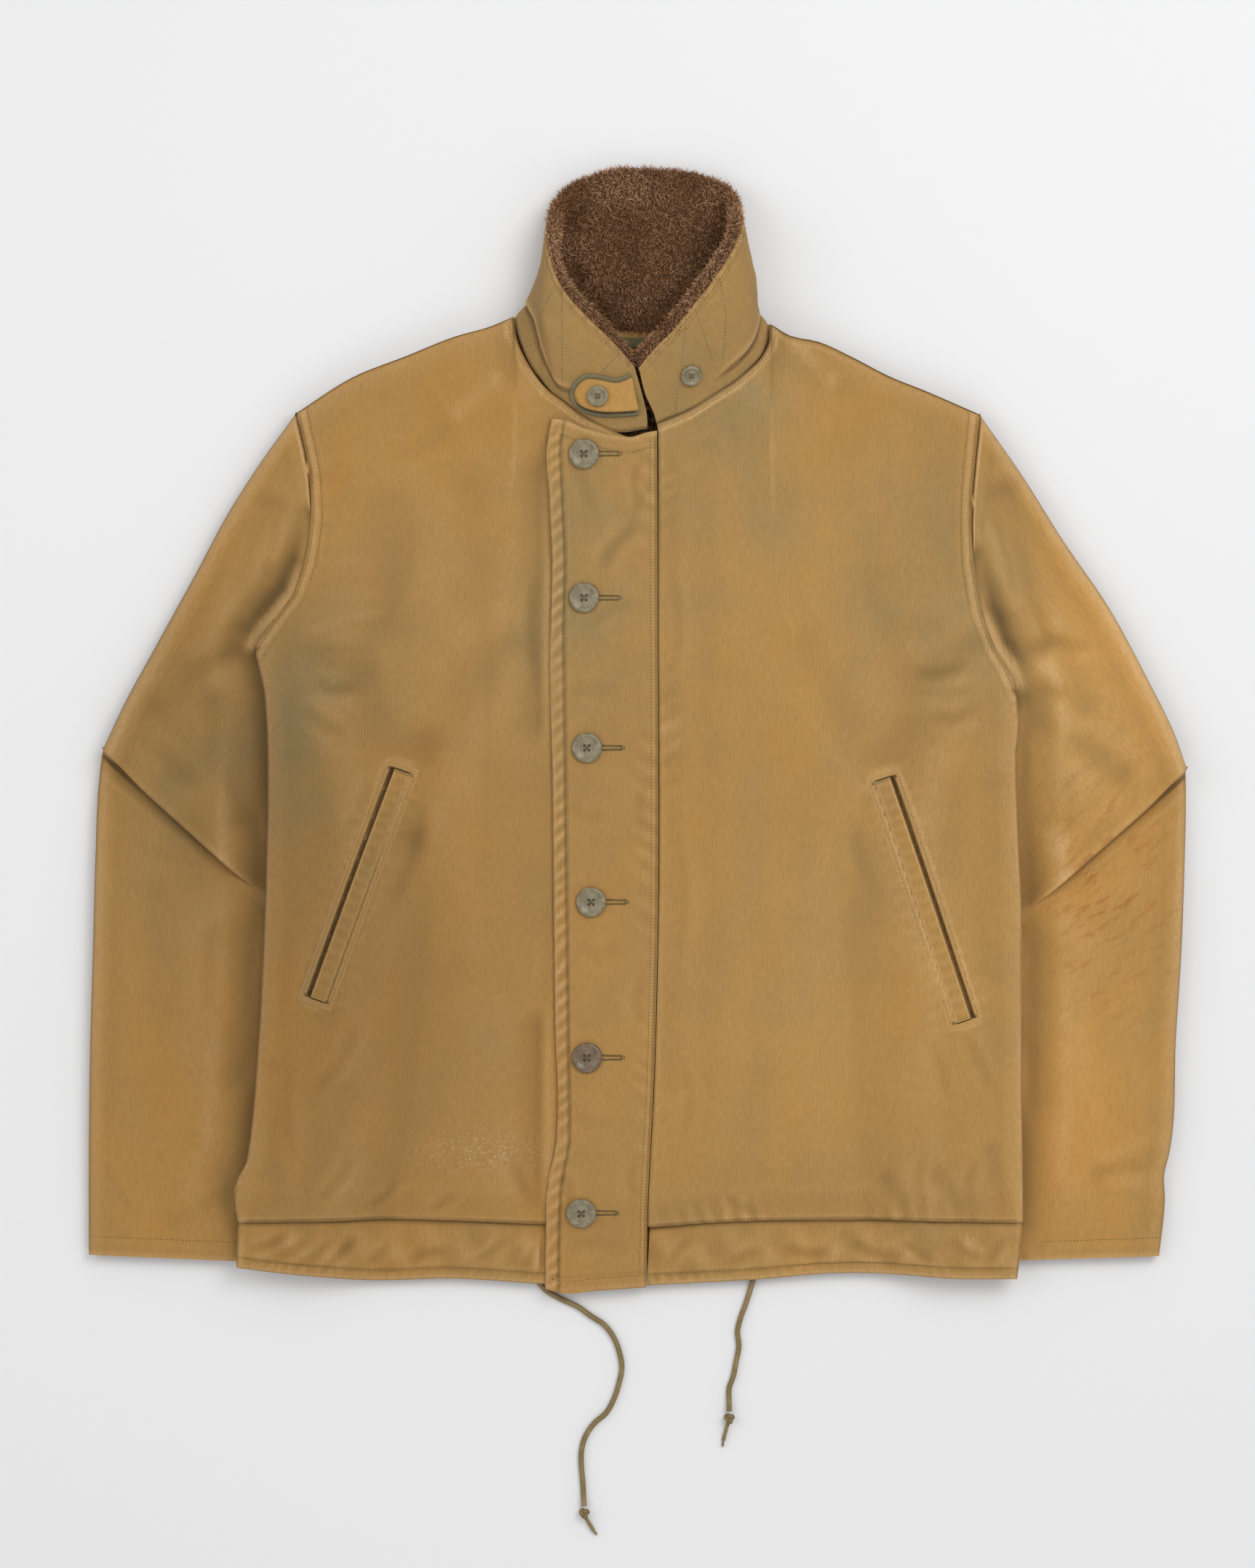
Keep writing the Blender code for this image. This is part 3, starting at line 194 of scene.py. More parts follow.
def bump(distance, halfWidth):
    return np.exp(-(distance / halfWidth) ** 2)


def arcShares(line):
    steps = np.linalg.norm(np.diff(line, axis=0), axis=1)
    along = np.concatenate([[0.0], np.cumsum(steps)])
    return along / along[-1]


def lengthOf(line):
    return float(np.linalg.norm(np.diff(np.array(line, float), axis=0), axis=1).sum())


def curveAt(points, spots):
    # a smooth curve through the points, at shares of its length
    knots = np.array(points, float)
    chord = np.concatenate([[0.0], np.cumsum(np.linalg.norm(np.diff(knots, axis=0), axis=1))])
    slopes = np.gradient(knots, chord, axis=0)
    fine = np.linspace(0.0, chord[-1], 40 * len(knots))
    span = np.clip(np.searchsorted(chord, fine, side="right") - 1, 0, len(knots) - 2)
    width = (chord[span + 1] - chord[span])[:, None]
    t = (fine - chord[span])[:, None] / width
    smooth = knots[span] * (2 * t ** 3 - 3 * t ** 2 + 1)
    smooth += slopes[span] * width * (t ** 3 - 2 * t ** 2 + t)
    smooth += knots[span + 1] * (3 * t ** 2 - 2 * t ** 3)
    smooth += slopes[span + 1] * width * (t ** 3 - t ** 2)
    return lineAt(smooth, spots)


def lineAt(line, spots):
    shares = arcShares(line)
    return np.column_stack([np.interp(spots, shares, line[:, axis]) for axis in range(line.shape[1])])


def even(count):
    return np.linspace(0.0, 1.0, count)


def crowded(count, pull=0.45):
    # shares from 0 to 1, closer together near both ends
    share = even(count)
    return share - pull * np.sin(math.tau * share) / math.tau


def nearLine(points, x, y):
    # how far each place lies from a line of points, and how far along the line its foot is
    line = np.array(points, float)[:, :2]
    nearest = np.full(np.shape(x), 1e9)
    along = np.zeros(np.shape(x))
    passed = 0.0
    for start, end in zip(line[:-1], line[1:]):
        run = end - start
        size = math.hypot(*run)
        share = np.clip(((x - start[0]) * run[0] + (y - start[1]) * run[1]) / size ** 2, 0.0, 1.0)
        away = np.hypot(x - start[0] - share * run[0], y - start[1] - share * run[1])
        along = np.where(away < nearest, passed + share * size, along)
        nearest = np.minimum(nearest, away)
        passed += size
    return nearest, along


def distanceTo(points, x, y):
    return nearLine(points, x, y)[0]


def softNoise(x, y, size, seed, stretch=1.0):
    # smooth random hills between -1 and 1, size across and stretch times longer along y
    lattice = np.random.default_rng(seed).uniform(-1.0, 1.0, (97, 97))
    u = np.asarray(x, float) / size + 40.3
    v = np.asarray(y, float) / (size * stretch) + 40.7
    column, row = np.floor(u).astype(int), np.floor(v).astype(int)
    s, t = smoothStep(u - column), smoothStep(v - row)
    left, low = column % 97, row % 97
    right, high = (column + 1) % 97, (row + 1) % 97
    near = lattice[low, left] * (1 - s) + lattice[low, right] * s
    far = lattice[high, left] * (1 - s) + lattice[high, right] * s
    return near * (1 - t) + far * t


def cloudNoise(x, y, size, seed, stretch=1.0, octaves=3):
    total = np.zeros(np.shape(x))
    for octave in range(octaves):
        scale = 2.0 ** octave
        total += softNoise(x, y, size / scale, seed + octave, stretch) / scale
    return total


def turned(x, y, degrees):
    angle = math.radians(degrees)
    return x * math.cos(angle) + y * math.sin(angle), y * math.cos(angle) - x * math.sin(angle)


def foldDepth(rows, x, y):
    total = np.zeros(np.shape(x))
    for startX, startY, endX, endY, halfWidth, depth in rows:
        total += depth * bump(distanceTo([(startX, startY), (endX, endY)], x, y), halfWidth)
    return total


def creaseDepth(rows, x, y):
    # sharper creases: a narrow trough with a low ridge on each side
    total = np.zeros(np.shape(x))
    for startX, startY, bendX, bendY, endX, endY, halfWidth, depth in rows:
        bent = curveAt([(startX, startY), (bendX, bendY), (endX, endY)], even(9))
        away, along = nearLine(bent, x, y)
        fade = smoothStep(np.minimum(along, lengthOf(bent) - along) / (0.35 * lengthOf(bent)) + 0.05)
        total += depth * fade * (1.45 * bump(away, halfWidth) - 0.45 * bump(away, 2.6 * halfWidth))
    return total


# Heights of the body's layers, as in the solids

def necklineOf(side):
    first, last = (0, neckPoints["right"]) if side == "right" else (neckPoints["left"], len(collarSections) - 1)
    points = np.array([collarSections[row][1][:2] for row in range(first, last + 1)], float)
    if side == "left":
        points = points[::-1]
    points[0] = outlines[side]["centre"][0] if side == "right" else points[0]
    return points


necklines = {side: necklineOf(side) for side in outlines}
neckLines = {side: curveAt(necklines[side], even(60)) for side in outlines}


def tuckLift(x, y):
    lift = np.zeros(np.shape(x))
    for side, sign in (("right", -1), ("left", 1)):
        tucked = np.array(outlines[side]["tucked"], float)
        inner = np.interp(-y, -tucked[:, 1], sign * tucked[:, 0])
        across = smoothStep(1.0 + (sign * x - inner + 12.0) / 60.0)
        lift += across * smoothStep((outlines[side]["armhole"][0][1] + 125.0 - y) / 75.0)
    return lift


def slackOverSleeve(x, y):
    share = tuckLift(x, y)
    return layers["bend slack"] * 4.0 * share * (1.0 - share)


def backTop(x, y):
    return layers["tuck height"] * tuckLift(x, y) + layers["wall"] - slackOverSleeve(x, y)


def frontUnder(x, y, side):
    rise = layers["neck rise"] * (1.0 - smoothStep(distanceTo(necklines[side], x, y) / 100.0))
    rise = rise * smoothStep(distanceTo(outlines[side]["shoulder"], x, y) / 60.0)
    base = layers["tuck height"] * tuckLift(x, y) + layers["wall"] + layers["layer gap"]
    return base + slackOverSleeve(x, y) + rise


def frontForm(x, y, side):
    outline = outlines[side]
    offSide = distanceTo(outline["seam"], x, y)
    offArmhole = distanceTo(outline["armhole"], x, y)
    offShoulder = distanceTo(outline["shoulder"], x, y)
    offHem = distanceTo(outline["hem"], x, y)
    offNeck = distanceTo(necklines[side], x, y)
    full = smoothStep(offSide / 70.0) * smoothStep(offArmhole / 60.0) * smoothStep(offShoulder / 80.0)
    away = full * smoothStep(offNeck / 70.0) * smoothStep(offHem / 60.0)
    folds = foldDepth(frontFolds[side], x, y) * smoothStep(offNeck / 30.0)
    if side == "right":
        thick = layers["wall"] + layers["crown"] * away * smoothStep((-62.0 - x) / 60.0)
        thick = thick - folds * smoothStep((-62.0 - x) / 10.0)
    else:
        thick = layers["wall"] + layers["crown"] * away * smoothStep((x - 20.0) / 60.0)
        thick = thick - folds * smoothStep((x - 10.0) / 8.0)
        thick = thick + layers["flap"] * (1.0 - smoothStep((x - 15.0) / 40.0))
    thick = thick - slackOverSleeve(x, y)
    thick = thick * (0.5 + 0.5 * smoothStep(offHem / 26.0))
    thick = thick * (0.86 + 0.14 * smoothStep(offArmhole / 7.0))
    thick = 4.0 + (thick - 4.0) * roundOff(offShoulder + 1.0, 15.0)
    thick = layers["thin edge"] + (thick - layers["thin edge"]) * roundOff(offSide, 12.0)
    return frontUnder(x, y, side) + thick


# Meshes

def addMesh(name, points, faces, material, smoothAngle=55):
    mesh = bpy.data.meshes.new(name)
    mesh.from_pydata((np.asarray(points) * mm).tolist(), [], [list(face) for face in faces])
    mesh.materials.append(material)
    mesh.shade_smooth()
    mesh.set_sharp_from_angle(angle=math.radians(smoothAngle))
    made = bpy.data.objects.new(name, mesh)
    bpy.context.scene.collection.objects.link(made)
    return made


def setValues(made, name, values):
    # a number or a vector for each point of the mesh, read by the materials
    values = np.asarray(values, np.float32)
    kind, field = ("FLOAT", "value") if values.ndim == 1 else ("FLOAT_VECTOR", "vector")
    made.data.attributes.new(name, kind, "POINT").data.foreach_set(field, values.ravel())


def gridFaces(rows, columns, start=0, closed=False):
    row, column = np.meshgrid(np.arange(rows - 1), np.arange(columns if closed else columns - 1), indexing="ij")
    after = (column + 1) % columns
    ring = [row * columns + column, row * columns + after, (row + 1) * columns + after,
            (row + 1) * columns + column]
    return np.stack([corner.ravel() for corner in ring], axis=1) + start


def borderOf(rows, columns, start=0):
    ring = list(range(columns))
    ring += [row * columns + columns - 1 for row in range(1, rows)]
    ring += [(rows - 1) * columns + column for column in range(columns - 2, -1, -1)]
    ring += [row * columns for row in range(rows - 2, 0, -1)]
    return [index + start for index in ring]


def rimFaces(fine, coarse):
    # joins a ring of points to one with half as many
    faces = []
    for index, near in enumerate(coarse):
        far = coarse[(index + 1) % len(coarse)]
        first, middle, last = fine[2 * index], fine[2 * index + 1], fine[(2 * index + 2) % len(fine)]
        faces += [(near, middle, first), (near, far, middle), (far, last, middle)]
    return faces


def surfaceNormals(grid, closed=False):
    if closed:
        across = np.roll(grid, -1, axis=1) - np.roll(grid, 1, axis=1)
    else:
        across = np.gradient(grid, axis=1)
    normal = np.cross(across, np.gradient(grid, axis=0))
    return normal / np.maximum(np.linalg.norm(normal, axis=2, keepdims=True), 1e-9)


def shellFrom(name, outer, inner, material, closed=False, values=None):
    # cloth between a fine outer grid and an inner one that keeps every other point
    rows, columns = outer.shape[:2]
    small = inner[::2, ::2]
    lowRows, lowColumns = small.shape[:2]
    start = rows * columns
    points = np.concatenate([outer.reshape(-1, 3), small.reshape(-1, 3)])
    faces = gridFaces(rows, columns, 0, closed).tolist()
    faces += gridFaces(lowRows, lowColumns, start, closed)[:, ::-1].tolist()
    if closed:
        near = [list(range(columns)), list(range(start, start + lowColumns))]
        last = (rows - 1) * columns
        lastLow = start + (lowRows - 1) * lowColumns
        far = [list(range(last, last + columns)), list(range(lastLow, lastLow + lowColumns))]
        faces += rimFaces(*near)
        faces += [face[::-1] for face in rimFaces(*far)]
    else:
        faces += rimFaces(borderOf(rows, columns), borderOf(lowRows, lowColumns, start))
    if np.sum(surfaceNormals(outer, closed) * (outer - inner)) < 0:
        faces = [face[::-1] for face in faces]
    made = addMesh(name, points, faces, material)
    for key, field in (values or {}).items():
        low = field[::2, ::2]
        if field.ndim == 3:
            setValues(made, key, np.concatenate([field.reshape(-1, field.shape[2]), low.reshape(-1, field.shape[2])]))
        else:
            setValues(made, key, np.concatenate([field.ravel(), low.ravel()]))
    return made


# Materials

class Socket:
    # an output of a node tree; arithmetic on it adds Math nodes
    def __init__(self, tree, socket):
        self.tree = tree
        self.socket = socket

    def math(self, operation, *others):
        values = {index + 1: other for index, other in enumerate(others)}
        return self.tree.add("ShaderNodeMath", {"operation": operation}, {0: self, **values})

    def __add__(self, other):
        return self.math("ADD", other)

    def __radd__(self, other):
        return self.math("ADD", other)

    def __sub__(self, other):
        return self.math("SUBTRACT", other)

    def __rsub__(self, other):
        return self.tree.add("ShaderNodeMath", {"operation": "SUBTRACT"}, {0: other, 1: self})

    def __mul__(self, other):
        return self.math("MULTIPLY", other)

    def __rmul__(self, other):
        return self.math("MULTIPLY", other)

    def __truediv__(self, other):
        return self.math("DIVIDE", other)

    def sine(self):
        return self.math("SINE")

    def power(self, exponent):
        return self.math("POWER", exponent)

    def clamped(self):
        return self.tree.add("ShaderNodeMath", {"operation": "ADD", "use_clamp": True}, {0: self, 1: 0.0})

    def between(self, low, high):
        # 0 below low, 1 above high, smooth between
        settings = {"interpolation_type": "SMOOTHSTEP"}
        return self.tree.add("ShaderNodeMapRange", settings, {0: self, 1: low, 2: high, 3: 0.0, 4: 1.0})


class Finish:
    # one material, its nodes made through add
    def __init__(self, name, **constants):
        self.material = bpy.data.materials.new(name)
        self.material.use_nodes = True
        self.nodes = self.material.node_tree.nodes
        self.links = self.material.node_tree.links
        self.shader = self.nodes["Principled BSDF"]
        for socket, value in constants.items():
            self.shader.inputs[socket.replace("_", " ")].default_value = value

    def add(self, kind, settings, sockets, output=0):
        node = self.nodes.new(kind)
        for name, value in settings.items():
            if name == "ramp":
                self.setRamp(node.color_ramp, value)
            else:
                setattr(node, name, value)
        for name, value in sockets.items():
            self.plug(node.inputs[name], value)
        return Socket(self, node.outputs[output])

    def setRamp(self, ramp, stops):
        while len(ramp.elements) < len(stops):
            ramp.elements.new(0.5)
        for element, (place, colour) in zip(ramp.elements, stops):
            element.position = place
            element.color = (*colour, 1.0)

    def plug(self, target, value):
        if isinstance(value, Socket):
            self.links.new(value.socket, target)
        elif isinstance(value, tuple) and len(value) == 3 and target.type == "RGBA":
            target.default_value = (*value, 1.0)
        else:
            target.default_value = value

    def value(self, name):
        return self.add("ShaderNodeAttribute", {"attribute_name": name}, {}, "Fac")

    def vector(self, name):
        return self.add("ShaderNodeAttribute", {"attribute_name": name}, {}, "Vector")

    def place(self):
        return self.add("ShaderNodeTexCoord", {}, {}, "Object")

    def scaled(self, vector, scale):
        return self.add("ShaderNodeVectorMath", {"operation": "MULTIPLY"}, {0: vector, 1: scale})

    def brighter(self, colour, amount):
        return self.add("ShaderNodeVectorMath", {"operation": "SCALE"}, {0: colour, "Scale": amount})

    def part(self, vector, axis):
        return self.add("ShaderNodeSeparateXYZ", {}, {0: vector}, axis)

    def noise(self, vector, scale, detail=2.0, roughness=0.5):
        sockets = {"Vector": vector, "Scale": scale, "Detail": detail, "Roughness": roughness}
        return self.add("ShaderNodeTexNoise", {}, sockets)

    def mix(self, factor, first, second, blend="MIX"):
        settings = {"data_type": "RGBA", "blend_type": blend}
        return self.add("ShaderNodeMix", settings, {0: factor, 6: first, 7: second}, 2)

    def ramp(self, factor, stops):
        return self.add("ShaderNodeValToRGB", {"ramp": stops}, {0: factor})

    def finish(self, colour, roughness, height=None, depth=0.0005, strength=1.0):
        self.plug(self.shader.inputs["Base Color"], colour)
        self.plug(self.shader.inputs["Roughness"], roughness)
        if height is not None:
            sockets = {"Strength": strength, "Distance": depth, "Height": height}
            self.links.new(self.add("ShaderNodeBump", {}, sockets).socket, self.shader.inputs["Normal"])
        return self.material


# Cloth: fine cords along the cloth, olive where it has faded, orange where it hasn't, pale where it is worn and where
# painted highlight lies on ridges, darker where it is soiled and where painted shade lies in hollows and seams,
# brighter or darker by place with painted light
clothColours = {
    "tan": (0.385, 0.215, 0.064), "orange": (0.410, 0.210, 0.054), "olive": (0.275, 0.190, 0.078),
    "dirt_and_shade": (0.100, 0.060, 0.022), "rubbed": (0.520, 0.320, 0.135), "rust": (0.270, 0.095, 0.024),
    "scuff": (0.560, 0.440, 0.300), "cord pitch": 1.35, "cord depth": 0.16,
}


def makeCloth(name, settings, slant=0.0):
    cloth = Finish(name, Sheen_Weight=0.06, Sheen_Roughness=0.5, Specular_IOR_Level=0.15)
    weave = cloth.vector("weave")
    across, along = cloth.part(weave, "X"), cloth.part(weave, "Y")
    wander = cloth.noise(cloth.scaled(weave, (0.035, 0.012, 0.05)), 1.0, 2.0)
    runs = across + along * slant + wander * 3.2
    cords = (runs * (math.tau / settings["cord pitch"])).sine()
    picks = (along * (math.tau / 0.95) + wander * 5.0).sine()
    slub = cloth.noise(cloth.scaled(weave, (0.9, 0.16, 0.3)), 1.0, 2.0, 0.6)
    grain = cloth.noise(cloth.scaled(weave, (0.55, 0.55, 0.55)), 1.0, 3.0, 0.7)
    clouds = cloth.noise(cloth.scaled(weave, (0.011, 0.007, 0.01)), 1.0, 3.0, 0.55)
    patches = cloth.noise(cloth.scaled(weave, (0.027, 0.019, 0.02)), 1.0, 4.0, 0.6)
    fade = (cloth.value("fade") + (clouds - 0.5) * 1.3).clamped()
    colour = cloth.mix(fade, settings["orange"], settings["olive"])
    colour = cloth.mix((patches.between(0.35, 0.7)) * 0.55, colour, settings["tan"])
    # darkened where the soiling attribute is high; it also holds painted shade in hollows, seams, the pocket slits and
    # under overlaps
    colour = cloth.mix(cloth.value("grime") * (0.7 + slub * 0.6), colour, settings["dirt_and_shade"])
    # paled where the wear attribute is high; it also holds painted highlight on ridges and fold edges
    rub = cloth.value("rub") * (0.45 + grain * 1.1)
    colour = cloth.mix(rub.clamped(), colour, settings["rubbed"])
    rust = cloth.value("rust") * cloth.noise(cloth.scaled(weave, (0.05, 0.16, 0.1)), 1.0, 4.0, 0.65).between(0.5, 0.66)
    colour = cloth.mix(rust.clamped() * 0.6, colour, settings["rust"])
    scuff = cloth.value("scuff") * cloth.noise(cloth.scaled(weave, (0.35, 0.5, 0.4)), 1.0, 3.0, 0.7).between(0.5, 0.68)
    colour = cloth.mix(scuff.clamped() * 0.7, colour, settings["scuff"])
    shade = 0.94 + cords * 0.07 + (slub - 0.5) * 0.34 + (grain - 0.5) * 0.22 + picks * 0.025
    # brightened or darkened by place: the cloth's own colour mixed with painted light from the lamp side and painted
    # shade in deep folds
    colour = cloth.brighter(colour, shade * cloth.value("tone"))
    height = cords * 0.5 + picks * 0.2 + slub * 0.8 + grain * 0.6
    return cloth.finish(colour, 0.86 + (grain - 0.5) * 0.16, height, settings["cord depth"] * mm, 0.6)


clothMaterial = makeCloth("deck cloth", clothColours)
sleeveCloth = makeCloth("deck cloth cut on the slant", clothColours, 0.35)
flapCloth = makeCloth("flap cloth", clothColours)
print("cloth mixed")


# What the pieces of cloth share

def blurred(field, radius):
    # the mean over a square of points round each one
    size = 2 * radius + 1
    for axis in (0, 1):
        padded = np.concatenate([np.repeat(field.take([0], axis), radius + 1, axis), field,
                                 np.repeat(field.take([-1], axis), radius, axis)], axis)
        sums = np.cumsum(padded, axis)
        length = field.shape[axis]
        field = (sums.take(range(size, size + length), axis) - sums.take(range(length), axis)) / size
    return field


def atHeight(plan, height):
    return np.dstack([plan, np.broadcast_to(height, plan.shape[:2])])


def patchOf(bottom, top, left, right):
    # a grid in plan that fills the space between four edges
    u = arcShares(bottom)[None, :, None]
    v = arcShares(right)[:, None, None]
    corners = (1 - u) * (1 - v) * bottom[0] + u * (1 - v) * bottom[-1] + (1 - u) * v * top[0] + u * v * top[-1]
    return (1 - v) * bottom[None] + v * top[None] + (1 - u) * left[:, None] + u * right[:, None] - corners


def puckers(x, y, line, wave, height, reach, seed, offset=0.0, slant=0.0):
    # short ridges across a seam, uneven in length and strength
    away, along = nearLine(line, x, y)
    along = along + away * math.tan(math.radians(slant))
    phase = math.tau * along / wave + 3.2 * softNoise(along, away * 0.3, 2.4 * wave, seed)
    strength = np.clip(0.25 + 0.9 * softNoise(along, away * 0.2, 3.0 * wave, seed + 1), 0.0, 1.0)
    return height * strength * np.sin(phase) * bump(away - offset, reach)


def groove(x, y, line, offset, depth, halfWidth=1.1):
    return depth * bump(distanceTo(line, x, y) - offset, halfWidth)


fadeSpots = [
    # x, y, radius across, radius along, amount: plus is olive and faded, minus is orange
    (110, 140, 90, 110, 0.35), (215, 150, 60, 90, 0.30), (-40, 90, 40, 130, 0.45), (60, 245, 60, 40, 0.55),
    (-90, 20, 30, 120, 0.35), (-255, 10, 40, 110, 0.50), (-110, -200, 70, 90, 0.12), (160, -90, 70, 120, 0.10),
    (258, 60, 26, 90, 0.45), (200, -330, 80, 30, 0.20), (-180, 60, 60, 60, 0.18), (-330, -60, 50, 110, 0.22),
    (-300, 100, 60, 80, -0.10), (340, -60, 60, 120, -0.15), (-340, -300, 60, 90, -0.25), (330, -300, 70, 80, -0.25),
    (-120, 220, 70, 50, -0.15), (150, 230, 60, 40, -0.20), (-20, -120, 40, 100, -0.05), (-250, -300, 60, 60, 0.15),
]


def fadeAt(x, y):
    total = np.full(np.shape(x), 0.30)
    for atX, atY, wide, high, amount in fadeSpots:
        total += amount * np.exp(-((x - atX) / wide) ** 2 - ((y - atY) / high) ** 2)
    return total


toneAndLightSpots = [
    # x, y, radius across, radius along, amount: how much lighter the cloth is painted there, partly its own colour and
    # partly painted light, brighter on the lamp side at plus x and darker in deep folds
    (-230, -180, 110, 200, -0.24), (-300, 0, 80, 100, -0.20), (-110, 130, 90, 110, 0.04), (110, 120, 110, 130, 0.12),
    (130, -200, 110, 160, 0.14), (340, 40, 70, 150, 0.28), (330, -260, 60, 140, 0.22),
]


def toneAndLightAt(x, y):
    total = np.ones(np.shape(x))
    for atX, atY, wide, high, amount in toneAndLightSpots:
        total += amount * np.exp(-((x - atX) / wide) ** 2 - ((y - atY) / high) ** 2)
    return total


def clothValues(grid, relief, grime, rub, seed, weave=None):
    # the numbers that the cloth's material reads: ridges are worn and get painted highlight, hollows are soiled and get
    # painted shade, and the brightness by place is partly painted light
    x, y = grid[..., 0], grid[..., 1]
    close = relief - blurred(relief, 2)
    wide = relief - blurred(relief, 9)
    # painted shade: hollows below the smoothed surface are darkened, on top of the soiling
    grime = np.clip(grime - close * 0.35 - wide * 0.06, 0.0, 0.8)
    # painted highlight: ridges above the smoothed surface are made paler, on top of the wear
    rub = np.clip(rub + close * 0.7 + wide * 0.05, 0.0, 0.8)
    weave = np.dstack([x, y, np.full(x.shape, seed * 37.0)]) if weave is None else weave
    rust = bump(np.hypot((x - 335) / 45, (y + 110) / 90), 1.0) * 0.9
    scuff = bump(np.hypot((x + 112) / 42, (y + 300) / 14), 1.0) * 0.8
    return {"weave": weave, "fade": fadeAt(x, y), "grime": grime, "rub": rub, "rust": rust, "scuff": scuff, "tone": toneAndLightAt(x, y)}


def finishPiece(made, nodes, body="root"):
    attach(made, body)
    if nodes:
        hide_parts(*nodes)
    return made


def surfaceTree(made):
    mesh = made.data
    corners = [vertex.co / mm for vertex in mesh.vertices]
    return BVHTree.FromPolygons(corners, [polygon.vertices for polygon in mesh.polygons])


def dropOnto(trees, x, y, fallback=0.0):
    # height and facing of the highest cloth over a place
    best = (fallback, Vector((0, 0, 1)))
    found = False
    for tree in trees:
        hit = tree.ray_cast(Vector((x, y, 200.0)), Vector((0, 0, -1)))
        if hit[0] is not None and (not found or hit[0].z > best[0]):
            best = (hit[0].z, hit[1] if hit[1].z > 0 else -hit[1])
            found = True
    return best


# Fronts
frontSettings = {
    "rows": 265, "columns": 131, "hills": 0.5, "hill size": 62, "crumple": 0.1, "crumple size": 17,
    "welt drop": 4.4,
}
frontCreases = {
    "right": [
        (-72, 120, -76, 70, -70, 20, 5, 0.9), (-110, 235, -150, 205, -190, 190, 9, 0.6),
        (-232, 40, -215, 30, -196, 34, 6, 0.9), (-240, 20, -222, 4, -205, -2, 6, 0.8),
        (-185, -28, -198, -60, -214, -86, 7, 0.8), (-150, -40, -160, -90, -182, -140, 6, 0.7),
        (-196, -205, -214, -240, -236, -262, 6, 0.9), (-245, -215, -250, -270, -242, -320, 6, 0.8),
        (-200, -300, -214, -322, -232, -340, 5, 0.9), (-170, -318, -180, -332, -196, -342, 4, 0.7),
        (-128, -330, -140, -338, -150, -346, 4, 0.6), (-90, -300, -84, -320, -74, -338, 5, 0.7),
    ],
    "left": [
        (24, 120, 30, 80, 26, 40, 4, 0.6), (30, 190, 44, 200, 62, 206, 6, 0.5),
        (236, 50, 215, 40, 196, 44, 6, 0.9), (246, 20, 226, 10, 206, 12, 6, 0.8),
        (205, -215, 216, -240, 222, -268, 6, 0.7), (232, -212, 244, -238, 256, -262, 5, 0.8),
        (150, -60, 160, -90, 176, -130, 7, 0.5), (60, -330, 74, -340, 92, -346, 4, 0.6),
        (244, -300, 236, -322, 240, -342, 5, 0.8), (206, -300, 200, -322, 206, -344, 5, 0.6),
        (28, -60, 34, -120, 27, -180, 5, 0.6), (30, -230, 38, -260, 30, -300, 5, 0.6),
    ],
}
pocketSettings = {"width": 12.4, "slit": 2.6, "lip": 5.0, "proud": 1.1}


def pocketFrame(side):
    start, end = (np.array(point, float) for point in outlines[side]["pocket"])
    run = (end - start) / np.linalg.norm(end - start)
    across = np.array([-run[1], run[0]])
    across = across if across[0] * (-1 if side == "right" else 1) > 0 else -across
    return start, end, run, across


def pocketPlaces(x, y, side):
    # along the pocket from its top end, and across it towards the side seam
    start, end, run, across = pocketFrame(side)
    along = (x - start[0]) * run[0] + (y - start[1]) * run[1]
    off = (x - start[0]) * across[0] + (y - start[1]) * across[1]
    return along, off, float(np.linalg.norm(end - start))


def frontHeight(x, y, side):
    seed = 11 if side == "right" else 23
    outline = outlines[side]
    offNeck = distanceTo(necklines[side], x, y)
    offEdge = np.minimum(distanceTo(outline["seam"], x, y), distanceTo(outline["shoulder"], x, y))
    free = smoothStep(offEdge / 40.0) * smoothStep(offNeck / 30.0)
    z = frontForm(x, y, side)
    z = z + frontSettings["hills"] * free * cloudNoise(x, y, frontSettings["hill size"], seed, 1.5)
    z = z + frontSettings["crumple"] * cloudNoise(x, y, frontSettings["crumple size"], seed + 5, 1.3)
    z = z - creaseDepth(frontCreases[side], x, y)
    arm = outline["armhole"]
    z = z + puckers(x, y, arm, 17.0, 0.4, 14.0, seed + 7, 8.0)
    z = z - groove(x, y, arm, 2.2, 0.35) - groove(x, y, arm, 8.6, 0.4)
    z = z - 0.9 * bump(distanceTo(arm, x, y), 1.4)
    hem = outline["hem"]
    z = z + puckers(x, y, hem, 13.0, 0.5, 11.0, seed + 9, 5.0, 12.0) - 1.8 * bump(distanceTo(hem, x, y), 1.8)
    neck = necklines[side]
    z = z + puckers(x, y, neck, 15.0, 0.35, 9.0, seed + 11, 7.0) - 1.2 * bump(offNeck, 1.6)
    z = z + 0.5 * bump(offNeck - 4.0, 2.2)
    if side == "left":
        centre = outline["centre"]
        z = z + puckers(x, y, centre, 15.0, 0.35, 9.0, seed + 13, 6.0, 24.0)
        z = z - 1.1 * bump(distanceTo(centre, x, y), 1.5)
    along, off, length = pocketPlaces(x, y, side)
    inside = smoothStep((along + 3.0) / 4.0) * smoothStep((length + 3.0 - along) / 4.0)
    half = pocketSettings["width"] / 2
    span = smoothStep((off + half - 1.0) / 2.5) * smoothStep((half + pocketSettings["slit"] + 2.5 - off) / 2.0)
    z = z - frontSettings["welt drop"] * inside * span
    around = smoothStep((along + 16.0) / 12.0) * smoothStep((length + 16.0 - along) / 12.0)
    stitchLine = bump(off + half + 1.6, 1.0) + bump(off - half - pocketSettings["slit"] - 7.0, 1.0)
    wavy = np.sin(math.tau * along / 12.0 + 2.6 * softNoise(along, off, 30.0, seed + 17))
    z = z - 0.3 * inside * stitchLine + 0.12 * around * wavy * bump(np.abs(off) - 13.0, 8.0)
    return z


